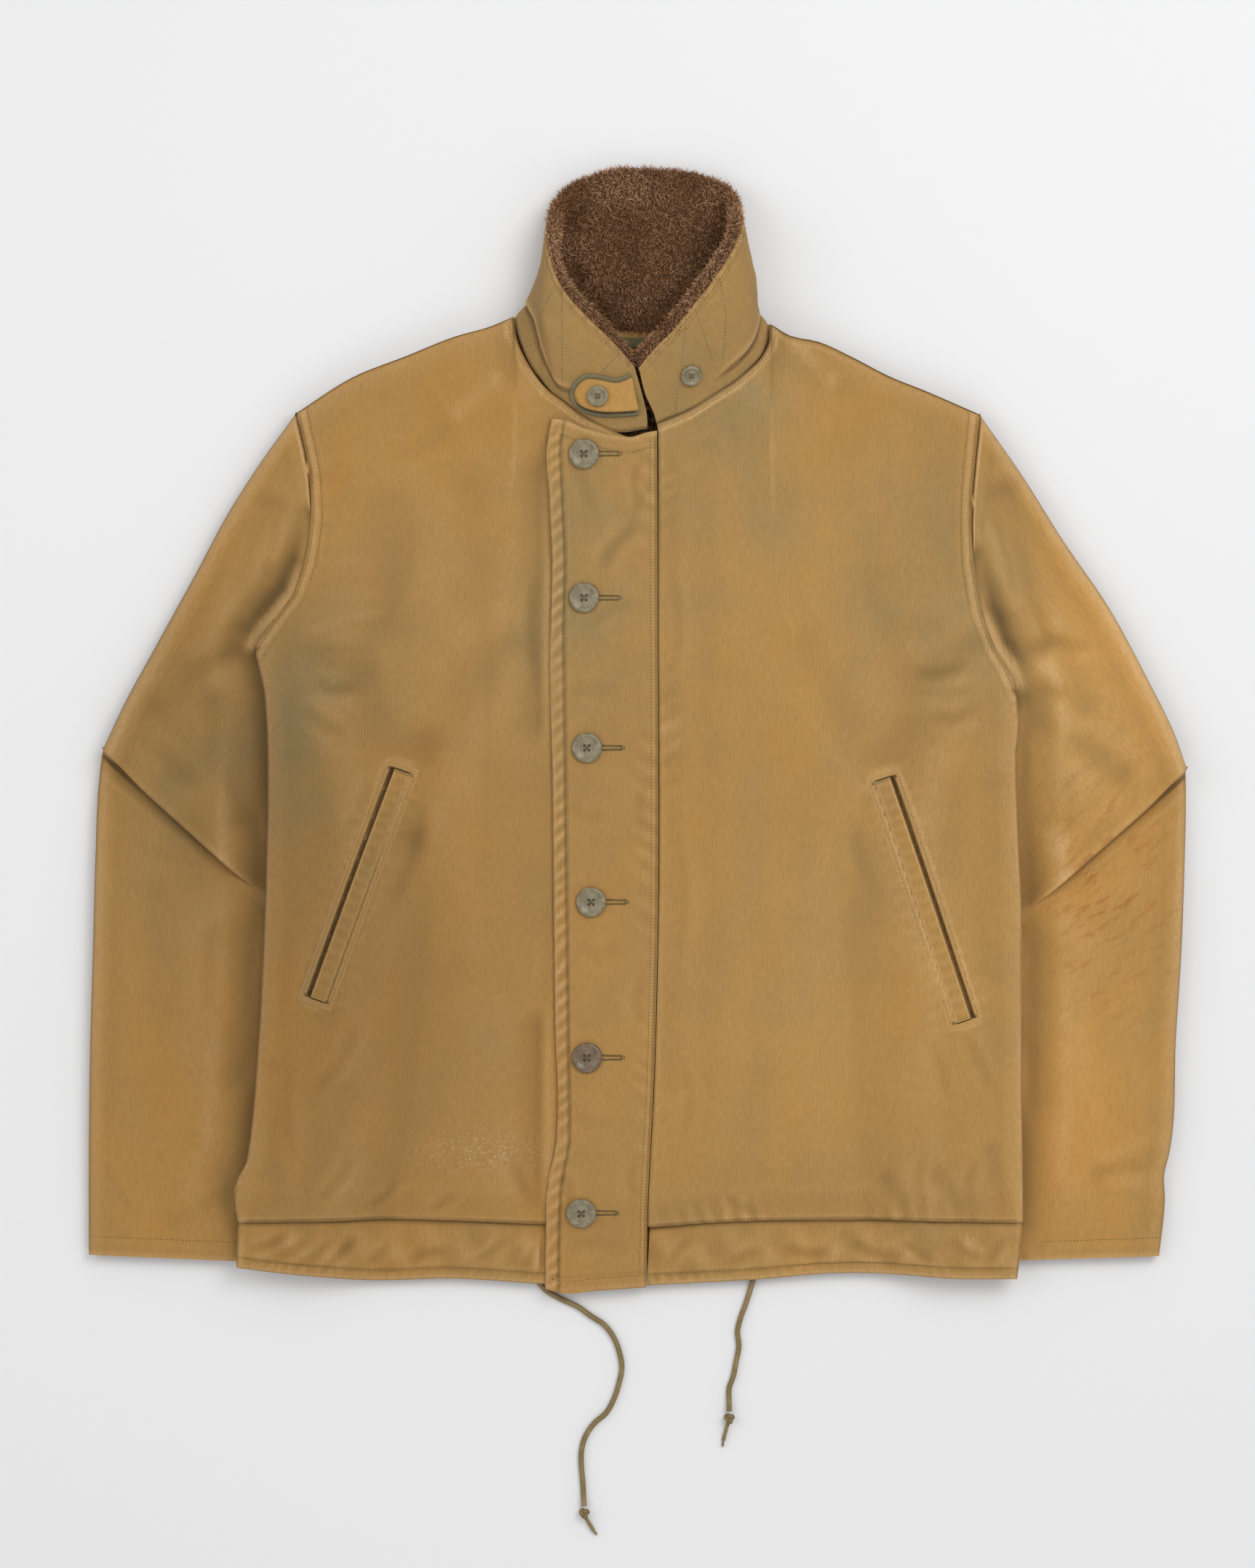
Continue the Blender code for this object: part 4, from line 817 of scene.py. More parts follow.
def frontPlan(side):
    outline = outlines[side]
    outer = np.concatenate([curveAt(outline["seam"], even(80)), curveAt(outline["armhole"], even(60))[1:]])
    shoulder = curveAt(outline["shoulder"], even(50))[::-1]
    shoulder = shoulder + (neckLines[side][-1] - shoulder[0]) * (1 - even(50))[:, None]
    shoulder[:-1, 1] -= 2.0
    top = np.concatenate([neckLines[side], shoulder[1:]])
    u, v = crowded(frontSettings["columns"]), crowded(frontSettings["rows"])
    outerPoints, topPoints = lineAt(outer, v), lineAt(top, u)
    hem, centre = curveAt(outline["hem"], u), curveAt(outline["centre"][::-1], v)
    centre[0], centre[-1], outerPoints[-1] = hem[0], topPoints[0], topPoints[-1]
    return patchOf(hem, topPoints, centre, outerPoints)


def makeFront(side, seed):
    plan = frontPlan(side)
    x, y = plan[..., 0], plan[..., 1]
    z = frontHeight(x, y, side)
    outer = atHeight(plan, z)
    inner = atHeight(plan, z - layers["shell"])
    outline = outlines[side]
    seam = np.minimum(distanceTo(outline["armhole"], x, y), distanceTo(necklines[side], x, y))
    grime = 0.2 * bump(seam, 1.8) + 0.35 * bump(distanceTo(outline["hem"], x, y), 2.5)
    rub = 0.35 * bump(distanceTo(outline["seam"], x, y), 5.0) + 0.4 * bump(seam - 4.5, 2.0)
    rub = rub + 0.3 * bump(distanceTo(outline["shoulder"], x, y), 8.0)
    values = clothValues(outer, z - blurred(z, 12), grime, rub, seed)
    made = shellFrom("front_" + side, outer, inner, clothMaterial, values=values)
    return finishPiece(made, ["front_%s_panel" % side])


fronts = {side: makeFront(side, seed) for seed, side in enumerate(("right", "left"), 1)}
frontTrees = {side: surfaceTree(fronts[side]) for side in fronts}
print("fronts laid")

# Sleeves: a flat tube each, its upper half lapping over the lower one at the elbow
sleeveSettings = {
    "rows above": 101, "rows below": 155, "top": 63, "under": 33, "hills": 0.45, "hill size": 60,
    "crumple": 0.1, "crumple size": 17, "lap": 3.2, "lap under": 6.0,
}
sleeveCreases = {
    "right": [
        (-250, 170, -262, 130, -270, 92, 5, 1.0), (-278, 70, -300, 52, -330, 40, 8, 1.0),
        (-258, 40, -262, 0, -250, -40, 6, 0.9), (-300, -10, -280, -60, -256, -96, 7, 0.9),
        (-372, 10, -340, -16, -300, -50, 8, 1.1), (-360, -40, -330, -64, -290, -90, 7, 0.9),
        (-376, -70, -350, -84, -318, -100, 6, 0.6), (-262, -190, -272, -230, -266, -270, 7, 0.8),
        (-300, -120, -306, -170, -300, -220, 9, 0.7), (-386, -300, -372, -330, -350, -352, 6, 0.7),
        (-330, -280, -310, -300, -280, -306, 8, 0.6),
    ],
    "left": [
        (250, 176, 262, 130, 272, 84, 5, 1.3), (284, 96, 292, 70, 288, 46, 6, 1.0),
        (286, 74, 306, 62, 330, 62, 6, 1.2), (282, 50, 296, 30, 318, 22, 6, 0.9),
        (270, 20, 276, -20, 266, -60, 6, 0.9), (376, -4, 340, -36, 296, -76, 8, 1.0),
        (352, -52, 320, -80, 284, -106, 7, 0.8), (272, -200, 280, -240, 274, -280, 7, 0.8),
        (322, -150, 330, -200, 322, -250, 9, 0.6), (376, -316, 350, -312, 318, -318, 6, 1.0),
        (372, -340, 346, -330, 320, -334, 5, 0.6),
    ],
}


def sleeveHeight(x, y, freeHeight, side):
    sign = -1 if side == "right" else 1
    outline = outlines[side]
    edge = np.array(outline["seam"] + outline["armhole"][1:], float)
    away = distanceTo(edge, x, y)
    covered = sign * x < np.interp(y, edge[:, 1], sign * edge[:, 0])
    pressed = layers["sleeve tucked"]
    seat = pressed + (20.0 - pressed) * smoothStep((y - outline["armhole"][0][1] - 45.0) / 70.0)
    shown = seat + (freeHeight - seat) * smoothStep((away - 6.0) / 28.0)
    shown = shown - foldDepth(sleeveFolds[side], x, y) * smoothStep(away / 12.0)
    seed = 31 if side == "right" else 47
    fine = sleeveSettings["hills"] * cloudNoise(x, y, sleeveSettings["hill size"], seed, 1.4)
    fine = fine + sleeveSettings["crumple"] * cloudNoise(x, y, sleeveSettings["crumple size"], seed + 5)
    fine = fine - 0.6 * creaseDepth(sleeveCreases[side], x, y)
    arm = outline["armhole"]
    armAway = distanceTo(arm, x, y)
    fine = fine + puckers(x, y, arm, 19.0, 0.4, 12.0, seed + 7, 9.0)
    shown = shown + fine * smoothStep((away - 1.0) / 9.0)
    base = np.where(covered, np.minimum(pressed, seat), shown)
    meets = frontForm(x, y, side) - 2.6
    atArmhole = bump(armAway, 8.0) * smoothStep((y - arm[0][1] + 6.0) / 30.0)
    return base + np.maximum(meets - base, 0.0) * atArmhole


def sleeveRows(side):
    # along the sleeve: which half, share of its length, how far the lap stands out and drops
    above = [("above", 0.0, -6.0, 0.0), ("above", 0.0, -3.0, 0.0)]
    above += [("above", share, 0.0, 0.0) for share in crowded(sleeveSettings["rows above"], 0.3)]
    lap = sleeveSettings["lap"]
    for turn in np.linspace(20, 180, 8):
        angle = math.radians(turn)
        above.append(("above", 1.0, lap * math.sin(angle), lap * (1.0 - math.cos(angle))))
    above.append(("above", 1.0, -0.5 * sleeveSettings["lap under"], 2.0 * lap))
    below = [("below", 0.0, -sleeveSettings["lap under"], 0.0)]
    below += [("below", share, 0.0, 0.0) for share in crowded(sleeveSettings["rows below"], 0.3)[1:]]
    return above + below


def makeSleeve(side, seed):
    outline = outlines[side]
    sign = -1 if side == "right" else 1
    spots, lowSpots = crowded(sleeveSettings["top"]), crowded(sleeveSettings["under"] + 2)[::-1][1:-1]
    armhole = curveAt(outline["armhole"], armholeSpots)[::-1]
    armSpots = 1.0 - np.array(armholeSpots)[::-1]
    lapWay = np.array([sign * 0.67, -0.74])
    rows = sleeveRows(side)
    halves = {}
    for half in ("above", "below"):
        shares = np.array([row[1] for row in rows if row[0] == half])
        halves[half] = {
            "outer": curveAt(outline["outer " + half], shares), "inner": curveAt(outline["inner " + half], shares),
            "height": np.interp(shares, *zip(*sleeveSections[half])), "next": 0,
        }
    rings, runs = [], []
    travelled = 0.0
    for half, share, out, drop in rows:
        data = halves[half]
        outer, inner, free = (data[key][data["next"]] for key in ("outer", "inner", "height"))
        data["next"] += 1
        ring = []
        for layer, where in (("top", spots), ("under", lowSpots)):
            across = outer + (inner - outer) * where[:, None]
            if half == "above":
                bow = lineAt(armhole, where) if share < 1 else across
                chord = armhole[0] + (armhole[-1] - armhole[0]) * where[:, None]
                across = across + (bow - chord) * (1.0 - share) ** 1.5 if share < 1 else across
            taper = smoothStep(where / 0.25) * smoothStep((1.0 - where) / 0.1) if layer == "top" else 0.0 * where
            across = across + lapWay * out * (0.06 + 0.94 * taper)[:, None]
            x, y = across[:, 0], across[:, 1]
            width = np.linalg.norm(inner - outer)
            offEdge = np.minimum(where, 1.0 - where) * width + (3.0 if share == 0 and half == "above" else 0.0)
            if layer == "top":
                peak = sleeveHeight(x, y, free, side) - drop * (0.1 + 0.9 * taper)
                height = layers["sleeve slit"] + (peak - layers["sleeve slit"]) * roundOff(offEdge + 0.2, 9.0)
            else:
                height = layers["sleeve slit"] * (1.0 - roundOff(offEdge + 0.2, 7.0))
            ring.append(np.column_stack([x, y, height]))
        rings.append(np.concatenate(ring))
        middle = (outer + inner) / 2
        travelled += 0.0 if not runs else float(np.linalg.norm(middle - previous))
        previous = middle
        girth = np.concatenate([spots, lowSpots]) * width
        runs.append(np.column_stack([girth, np.full(len(girth), travelled), np.full(len(girth), seed * 37.0)]))
    outerGrid, weave = np.stack(rings), np.stack(runs)
    facing = surfaceNormals(outerGrid, True)
    centre = outerGrid.mean(axis=1, keepdims=True)
    if np.sum(facing * (outerGrid - centre)) < 0:
        facing = -facing
    innerGrid = outerGrid - facing * layers["shell"]
    innerGrid[..., 2] = np.maximum(innerGrid[..., 2], 0.3)
    x, y, z = (outerGrid[..., axis] for axis in range(3))
    cuff = distanceTo([outerGrid[-1, 0, :2], outerGrid[-1, len(spots) - 1, :2]], x, y)
    relief = (z - blurred(z, 8)) * smoothStep((z - layers["sleeve slit"]) / 4.0)
    armAway = distanceTo(outline["armhole"], x, y)
    beside = distanceTo(outline["seam"], x, y)
    # painted shade along the armhole and beside the side seam, where the body lies over the sleeve
    grime = 0.25 * bump(armAway, 3.0) + 0.3 * bump(beside, 9.0)
    outerEdge = np.tile(np.concatenate([spots, lowSpots]), (len(rows), 1)) * 150.0
    rub = 0.55 * bump(cuff, 3.0) + 0.25 * bump(outerEdge, 4.0)
    values = clothValues(outerGrid, relief, grime, rub, seed, weave)
    made = shellFrom("sleeve_" + side + "_cloth", outerGrid, innerGrid, sleeveCloth, True, values)
    return finishPiece(made, ["sleeve_" + side])


sleeves = {side: makeSleeve(side, seed) for seed, side in enumerate(("right", "left"), 3)}
sleeveTrees = {side: surfaceTree(sleeves[side]) for side in sleeves}
print("sleeves laid")


# Back: seen from below, at its edges and inside the neck
backSettings = {"rows": 141, "columns": 161}


def makeBack():
    edges = {}
    for side in outlines:
        seam, arm = curveAt(outlines[side]["seam"], even(80)), curveAt(outlines[side]["armhole"], even(60))
        edges[side] = np.concatenate([seam, arm[1:]])
    neck = np.array([collarSections[row][1][:2] for row in range(neckPoints["right"], neckPoints["left"] + 1)], float)
    slopeRight = curveAt(outlines["right"]["shoulder"], even(50))
    slopeLeft = curveAt(outlines["left"]["shoulder"], even(50))[::-1]
    top = np.concatenate([slopeRight[:-1], curveAt(neck, even(60)), slopeLeft[1:]])
    hemLine = outlines["right"]["hem"][::-1] + outlines["left"]["hem"][1:]
    u, v = crowded(backSettings["columns"], 0.2), crowded(backSettings["rows"], 0.2)
    topPoints, bottom = lineAt(top, u), curveAt(hemLine, u)
    right, left = lineAt(edges["right"], v), lineAt(edges["left"], v)
    right[0], right[-1], left[0], left[-1] = bottom[0], topPoints[0], bottom[-1], topPoints[-1]
    plan = patchOf(bottom, topPoints, right, left)
    x, y = plan[..., 0], plan[..., 1]
    upper = backTop(x, y) - 0.2
    thick = np.full(x.shape, layers["wall"] - 0.2)
    for side in outlines:
        for edge, radius in (("seam", 10.0), ("shoulder", 9.0)):
            thick = layers["thin edge"] + (thick - layers["thin edge"]) * roundOff(
                distanceTo(outlines[side][edge], x, y), radius)
    lower = upper - thick
    hang = smoothStep(lower / 4.0)
    lower = np.maximum(lower + 0.5 * hang * cloudNoise(x, y, 30, 71), 0.0)
    outer, inner = atHeight(plan, lower), atHeight(plan, upper)
    values = clothValues(outer, blurred(lower, 6) - lower, np.zeros(x.shape), np.zeros(x.shape), 5)
    return finishPiece(shellFrom("back", outer, inner, clothMaterial, values=values), ["back_panel"])


back = makeBack()


# Hem bands: thin cloth gathered by the cord that runs through it
bandSettings = {"rows": 25, "columns": 171, "gather": 1.25, "stitch": 7.5}
bandCreases = {
    "right": [
        (-280, -372, -262, -366, -246, -358, 5, 1.1), (-272, -384, -250, -372, -230, -362, 5, 1.3),
        (-248, -386, -232, -376, -214, -360, 5, 1.5), (-226, -388, -212, -374, -198, -358, 4.5, 1.2),
        (-204, -386, -188, -378, -176, -362, 4.5, 0.9), (-170, -384, -150, -374, -132, -370, 5, 0.9),
        (-120, -382, -104, -372, -92, -360, 4, 0.8), (-84, -388, -76, -376, -70, -362, 4, 0.8),
    ],
    "left": [
        (20, -388, 28, -374, 40, -360, 4, 0.8), (62, -386, 76, -376, 96, -372, 5, 0.8),
        (104, -366, 120, -374, 142, -372, 5, 1.0), (150, -360, 164, -372, 184, -376, 5, 1.2),
        (186, -362, 200, -372, 214, -382, 4.5, 1.1), (222, -358, 232, -370, 250, -378, 4.5, 1.1),
        (246, -384, 256, -372, 262, -358, 4.5, 0.8),
    ],
}


def makeFrontBand(side, seed):
    outline = outlines[side]
    share = even(bandSettings["columns"])
    top = curveAt(outline["hem"], share) + np.array([0, 0.6])
    bottom = curveAt(outline["band bottom"], share)
    rows = crowded(bandSettings["rows"], 0.35)
    plan = top[None] * (1 - rows)[:, None, None] + bottom[None] * rows[:, None, None]
    x, y = plan[..., 0], plan[..., 1]
    middle = np.sin(math.pi * rows)[:, None]
    gathers = np.sin(x * 0.19 + y * 0.11) * np.sin(x * 0.071 - y * 0.05 + 1.0)
    fold = softNoise(*turned(x, y, -35), 9.0, seed + 60, 2.6)
    full = layers["band"] * (0.72 + 0.28 * middle) + (bandSettings["gather"] * gathers + 0.8 * fold) * middle
    full = full - creaseDepth(bandCreases[side], x, y) * (0.3 + 0.7 * middle)
    fromBottom = distanceTo(bottom, x, y)
    full = full + puckers(x, y, bottom, 9.0, 0.35, 4.0, seed + 61, 4.0, 20.0)
    full = full - 0.45 * bump(fromBottom - bandSettings["stitch"], 1.0)
    full = full * (0.45 + 0.55 * roundOff(fromBottom + 0.3, 3.0))
    outerEnd = distanceTo([top[-1], bottom[-1]], x, y)
    full = layers["thin edge"] + (full - layers["thin edge"]) * roundOff(outerEnd + 0.5, 5.0)
    if side == "right":
        full = np.where(x > -70, np.minimum(full, 4.6), full)
    under = layers["tuck height"] * tuckLift(x, y) + layers["band"] + layers["band clear"]
    outer = atHeight(plan, under + full)
    hemAway = distanceTo(outline["hem"], x, y)
    # darker along the top under the front's overhanging hem, which is painted shade, and along the stitch line
    grime = 0.6 * bump(hemAway, 2.2) + 0.25 * bump(fromBottom - bandSettings["stitch"], 1.6)
    rub = 0.75 * bump(fromBottom, 2.6)
    values = clothValues(outer, full, grime, rub, seed)
    made = shellFrom("hem_" + side + "_cloth", outer, atHeight(plan, under), clothMaterial, values=values)
    return finishPiece(made, ["hem_band_" + side])


def makeBackBand():
    share = even(161)
    line = outlines["right"]["hem"][::-1] + outlines["left"]["hem"][1:]
    top = curveAt(line, share) + np.array([0, 0.6])
    rows = crowded(15)
    plan = top[None] - np.array([0, layers["back band width"]])[None, None] * rows[:, None, None]
    plan[..., 0] *= 0.995
    x, y = plan[..., 0], plan[..., 1]
    lower = layers["tuck height"] * tuckLift(x, y)
    outer = atHeight(plan, lower)
    edge = distanceTo(top - np.array([0, layers["back band width"]]), x, y)
    inner = atHeight(plan, lower + 1.0 + (layers["band"] - 1.0) * roundOff(edge + 0.3, 4.0))
    values = clothValues(outer, np.zeros(x.shape), np.zeros(x.shape), 0.5 * bump(edge, 3.0), 8)
    made = shellFrom("hem_back_cloth", outer, inner, clothMaterial, values=values)
    return finishPiece(made, ["hem_band_back"])


bands = {side: makeFrontBand(side, seed) for seed, side in enumerate(("right", "left"), 6)}
backBand = makeBackBand()
bandTrees = {side: surfaceTree(bands[side]) for side in bands}
print("back and hem laid")


# Storm flap over the front closing
flapSettings = {"rows": 311, "columns": 39, "edge stitch": 9.5, "pucker wave": 11.5, "pucker": 0.75}
flapCreases = [
    (-30, 112, -12, 136, 6, 150, 6, 1.1), (-40, 70, -20, 86, 10, 92, 6, 0.6), (-54, 196, -40, 178, -30, 150, 6, 0.6),
    (4, 196, -2, 180, 2, 160, 4, 0.7), (12, 178, 4, 168, -4, 150, 4, 0.6), (-56, 20, -34, 30, -8, 24, 7, 0.5),
    (-52, -50, -34, -62, -18, -60, 6, 0.5), (10, -30, 2, -50, 6, -76, 5, 0.6), (-50, -150, -30, -160, -4, -152, 7, 0.5),
    (8, -170, 0, -190, 6, -214, 5, 0.7), (-52, -266, -34, -280, -10, -276, 7, 0.6), (-60, -310, -48, -330, -56, -352, 5, 0.8),
    (4, -300, -4, -318, 2, -340, 5, 0.7), (-54, -370, -30, -366, -4, -374, 7, 0.6),
]


def flapPlan():
    rows, columns = crowded(flapSettings["rows"], 0.15), crowded(flapSettings["columns"])
    left, right = curveAt(flapOutline["left"][::-1], rows), curveAt(flapOutline["right"][::-1], rows)
    top, bottom = curveAt(flapOutline["top"], columns), curveAt(flapOutline["bottom"], columns)
    left[0], left[-1], right[0], right[-1] = bottom[0], top[0], bottom[-1], top[-1]
    return patchOf(bottom, top, left, right)


def makeFlap():
    plan = flapPlan()
    x, y = plan[..., 0], plan[..., 1]
    trees = [frontTrees["right"], bandTrees["right"]]
    level = np.zeros(len(plan))
    for row in range(len(plan)):
        level[row] = max(dropOnto(trees, *plan[row, column])[0] for column in range(2, len(plan[row]) - 2, 3))
    held = int(np.argmax(level > 0))
    level[:held] = level[held]
    level = blurred(np.stack([level, level], axis=1), 7)[:, 0]
    under = level[:, None] + 0.2 + np.zeros(x.shape)
    away, along = nearLine(flapOutline["left"], x, y)
    wave = flapSettings["pucker wave"]
    phase = math.tau * (along + 0.8 * away) / wave + 2.4 * softNoise(along, 0 * along, 2.2 * wave, 81)
    strength = 0.7 + 0.3 * softNoise(along, 0 * along, 3.0 * wave, 83)
    pucker = flapSettings["pucker"] * strength * np.sin(phase) * bump(away - 5.2, 4.2)
    full = layers["flap"] * (0.35 + 0.65 * roundOff(away + 0.2, 3.2)) + pucker
    full = full + 0.45 * bump(away - 5.0, 4.0) - 0.6 * bump(away - flapSettings["edge stitch"], 1.2)
    rightAway = distanceTo(flapOutline["right"], x, y)
    full = full + puckers(x, y, flapOutline["right"], 17.0, 0.45, 8.0, 87, 7.0, 30.0)
    full = full - 0.5 * bump(rightAway - 1.6, 1.0) - 0.9 * bump(rightAway, 1.2)
    topAway = distanceTo(flapOutline["top"], x, y)
    bottomAway = distanceTo(flapOutline["bottom"], x, y)
    full = full - 0.35 * bump(topAway - 11.0, 1.2) - 0.45 * bump(bottomAway - 11.0, 1.2)
    full = full * (0.45 + 0.55 * roundOff(np.minimum(topAway, bottomAway) + 0.2, 3.0))
    full = full + 0.5 * cloudNoise(x, y, 34, 89, 1.4) * smoothStep(away / 12.0) - creaseDepth(flapCreases, x, y)
    for atX, atY in buttonPlaces["front"]:
        full = full - 0.5 * bump(np.hypot(x - atX, y - atY), 9.0)
    outer = atHeight(plan, under + np.maximum(full, 1.2))
    grime = 0.4 * bump(away - flapSettings["edge stitch"], 1.5) + 0.4 * bump(rightAway, 1.6)
    rub = 0.6 * bump(away, 1.8) + 0.7 * bump(topAway, 2.4) + 0.5 * bump(bottomAway, 2.2)
    # paler on the pucker ridges: painted highlight as well as wear
    rub = rub + 0.35 * np.clip(pucker, 0, 1)
    values = clothValues(outer, full, grime, rub, 9)
    made = shellFrom("storm_flap", outer, atHeight(plan, under), flapCloth, values=values)
    return finishPiece(made, ["placket"])


buttonPlaces = {
    "front": [(-38, 197), (-38, 95), (-36, -12), (-33, -122), (-36, -233), (-40, -344)],
    "tab": (-28, 237), "collar": (38, 252),
}
flap = makeFlap()
flapTree = surfaceTree(flap)
print("flap laid")


# Collar: outer cloth turned over the base, pile inside and over its rim
collarSettings = {
    "rows": 49, "columns": 361, "wing": 2.0, "wing start": 0.02, "hills": 0.5, "crumple": 0.22,
    "pile rows": 31, "pile columns": 181,
}
collarTable = np.array([section[1:] for section in collarSections], float)
collarAngles = np.array([section[0] for section in collarSections], float)


def betweenSections(table, spots):
    # smooth values between the collar's sections, spots counted in sections
    slopes = np.gradient(table, axis=0)
    row = np.clip(np.floor(spots).astype(int), 0, len(table) - 2)
    t = (spots - row).reshape(-1, *[1] * (table.ndim - 1))
    found = table[row] * (2 * t ** 3 - 3 * t ** 2 + 1) + slopes[row] * (t ** 3 - 2 * t ** 2 + t)
    return found + table[row + 1] * (3 * t ** 2 - 2 * t ** 3) + slopes[row + 1] * (t ** 3 - t ** 2)


def collarSpots(count):
    # places round the collar, even along its bend
    fine = np.linspace(0, len(collarSections) - 1, 900)
    return np.interp(even(count), arcShares(betweenSections(collarTable, fine)[:, 2]), fine)


def collarGrid(spots, heights):
    sections = betweenSections(collarTable, spots)
    turns = np.radians(np.interp(spots, np.arange(len(collarAngles)), collarAngles))
    facing = np.column_stack([np.cos(turns), np.zeros(len(turns)), np.sin(turns)])
    columns = [curveAt(section, heights) for section in sections]
    baseShare = [lengthOf(section[:2]) / lengthOf(section) for section in sections]
    grid = np.stack(columns, axis=1)
    return grid, np.broadcast_to(facing[None], grid.shape), np.array(baseShare)


def makeCollarCloth():
    spots = collarSpots(collarSettings["columns"])
    heights = crowded(collarSettings["rows"], 0.3)
    grid, facing, base = collarGrid(spots, heights)
    up = heights[:, None] + np.zeros(grid.shape[:2])
    place = spots[None, :] + np.zeros(grid.shape[:2])
    sideways = smoothStep((place - 1.6) / 1.6) * smoothStep((9.0 - place) / 1.5)
    sideways = sideways + smoothStep((place - 13.6) / 1.4) * smoothStep((20.2 - place) / 1.6)
    offset = collarSettings["wing"] * sideways * (smoothStep((up - base[None] + 0.01) / 0.035) - 0.75)
    offset = offset - 0.9 * sideways * bump(up - base[None] + 0.02, 0.035)
    run = np.concatenate([[0.0], np.cumsum(np.linalg.norm(np.diff(grid[24], axis=0), axis=1))])
    across = run[None, :] + np.zeros(up.shape)
    tall = np.linalg.norm(np.diff(grid, axis=0), axis=2).sum(axis=0)[None] * up
    offset = offset + collarSettings["hills"] * cloudNoise(across, tall, 40, 91)
    offset = offset + collarSettings["crumple"] * cloudNoise(across, tall, 12, 95)
    rim = (1.0 - up) * tall.max(axis=0)[None]
    offset = offset - 0.9 * bump(rim, 1.6) - 0.35 * bump(rim - 6.0, 1.0)
    offset = offset + 0.3 * np.sin(across * 0.55 + 2 * softNoise(across, tall, 20, 97)) * bump(rim - 3.0, 3.0)
    offset = offset - 0.8 * bump(tall, 1.8)
    fullOffset = offset * (1.0 - 0.85 * smoothStep((place - 8.0) / 1.5) * smoothStep((15.0 - place) / 1.5))
    outer = grid + facing * fullOffset[..., None]
    inner = grid - facing * (layers["collar cloth"] - 0.2)
    # painted shadow in the fold under the wing's edge and painted highlight just above it, with darker cloth at the
    # neck seam and paler wear at the rim
    grime = 0.45 * bump(tall, 2.5) + 0.5 * sideways * bump(up - base[None] + 0.015, 0.035)
    rub = 0.55 * bump(rim, 1.8) + 0.3 * sideways * bump(up - base[None] - 0.05, 0.03)
    weave = np.dstack([across, tall, np.full(up.shape, 370.0)])
    values = clothValues(outer, fullOffset, grime, rub, 10, weave)
    values["fade"] = np.full(up.shape, 0.72) + 0.2 * softNoise(across, tall, 60, 98)
    made = shellFrom("collar_cloth", outer, inner, collarCloth, values=values)
    return finishPiece(made, ["collar_shell"])


collarCloth = makeCloth("collar cloth", clothColours, 0.25)
collar = makeCollarCloth()
collarTree = surfaceTree(collar)
print("collar made")

pileSettings = {
    "strands": 60000, "neck strands": 9000, "length": 5.6, "width": 0.75, "lean": 0.75, "scatter": 0.42, "above table": 0.1,
    "dark": (0.030, 0.014, 0.007), "middle": (0.300, 0.135, 0.055), "light": (0.600, 0.360, 0.200),
}


def makePileFinish(settings):
    pile = Finish("brown pile", Specular_IOR_Level=0.1, Sheen_Weight=0.05, Sheen_Roughness=0.4)
    tone, tip = pile.value("tone"), pile.value("tip")
    colour = pile.mix(tone.clamped(), settings["middle"], settings["light"])
    # darker towards each strand's root: painted shade deep in the pile
    colour = pile.mix((tip * 0.8 + 0.25 + (tone - 0.5) * 0.3).clamped(), settings["dark"], colour)
    fleck = pile.noise(pile.place(), 900.0, 2.0, 0.6)
    return pile.finish(pile.brighter(colour, 0.8 + fleck * 0.4), 0.75 + fleck * 0.1)


pileFinish = makePileFinish(pileSettings)


def pileForm():
    # the lining's points, one more layer past the rim than the cloth
    spots = collarSpots(collarSettings["pile columns"])
    grid, facing, _ = collarGrid(spots, even(collarSettings["pile rows"]))
    turns = np.interp(spots, np.arange(len(collarAngles)), collarAngles)
    front = smoothStep(1.0 - (120.0 - np.abs(turns - 270.0)) / 90.0)
    front = np.where(np.abs(turns - 270.0) > 90.0, 1.0, front)
    lip = layers["pile lip back"] + (layers["pile lip front"] - layers["pile lip back"]) * front
    away = grid[-1] - grid[-2]
    away = away / np.linalg.norm(away, axis=1)[:, None]
    away[:, 2] *= 0.3
    near = layers["collar cloth"] + 0.2
    steps = [(0.2, 0.3), (0.45, 0.7), (0.7, 1.2), (0.9, 0.7), (1.0, -0.6)]
    over = [grid - facing * near]
    under = [grid - facing * (near + layers["pile depth"] - 2.0)]
    for share, rise in steps:
        base = (grid[-1] + away * (0.86 * lip * share)[:, None])[None]
        over.append(base - facing[:1] * (near - rise * front)[None, :, None])
        under.append(base - facing[:1] * (near + 1.0 + (layers["pile depth"] - 3.0) * math.sqrt(1.02 - share ** 2)))
    return np.concatenate(over), np.concatenate(under)


def strandsOn(grid, facing, count, seed, keep=None):
    # roots spread by area over a grid, with the way each looks
    dice = np.random.default_rng(seed)
    sides = np.linalg.norm(np.cross(grid[1:, :-1] - grid[:-1, :-1], grid[:-1, 1:] - grid[:-1, :-1]), axis=2)
    weights = sides.ravel() / sides.sum()
    cell = dice.choice(len(weights), count, p=weights)
    row, column = np.divmod(cell, grid.shape[1] - 1)
    s, t = dice.random(count)[:, None], dice.random(count)[:, None]
    found = []
    for field in (grid, facing):
        low = field[row, column] * (1 - s) + field[row, column + 1] * s
        high = field[row + 1, column] * (1 - s) + field[row + 1, column + 1] * s
        found.append(low * (1 - t) + high * t)
    roots, ways = found
    return roots, ways / np.linalg.norm(ways, axis=1)[:, None], dice


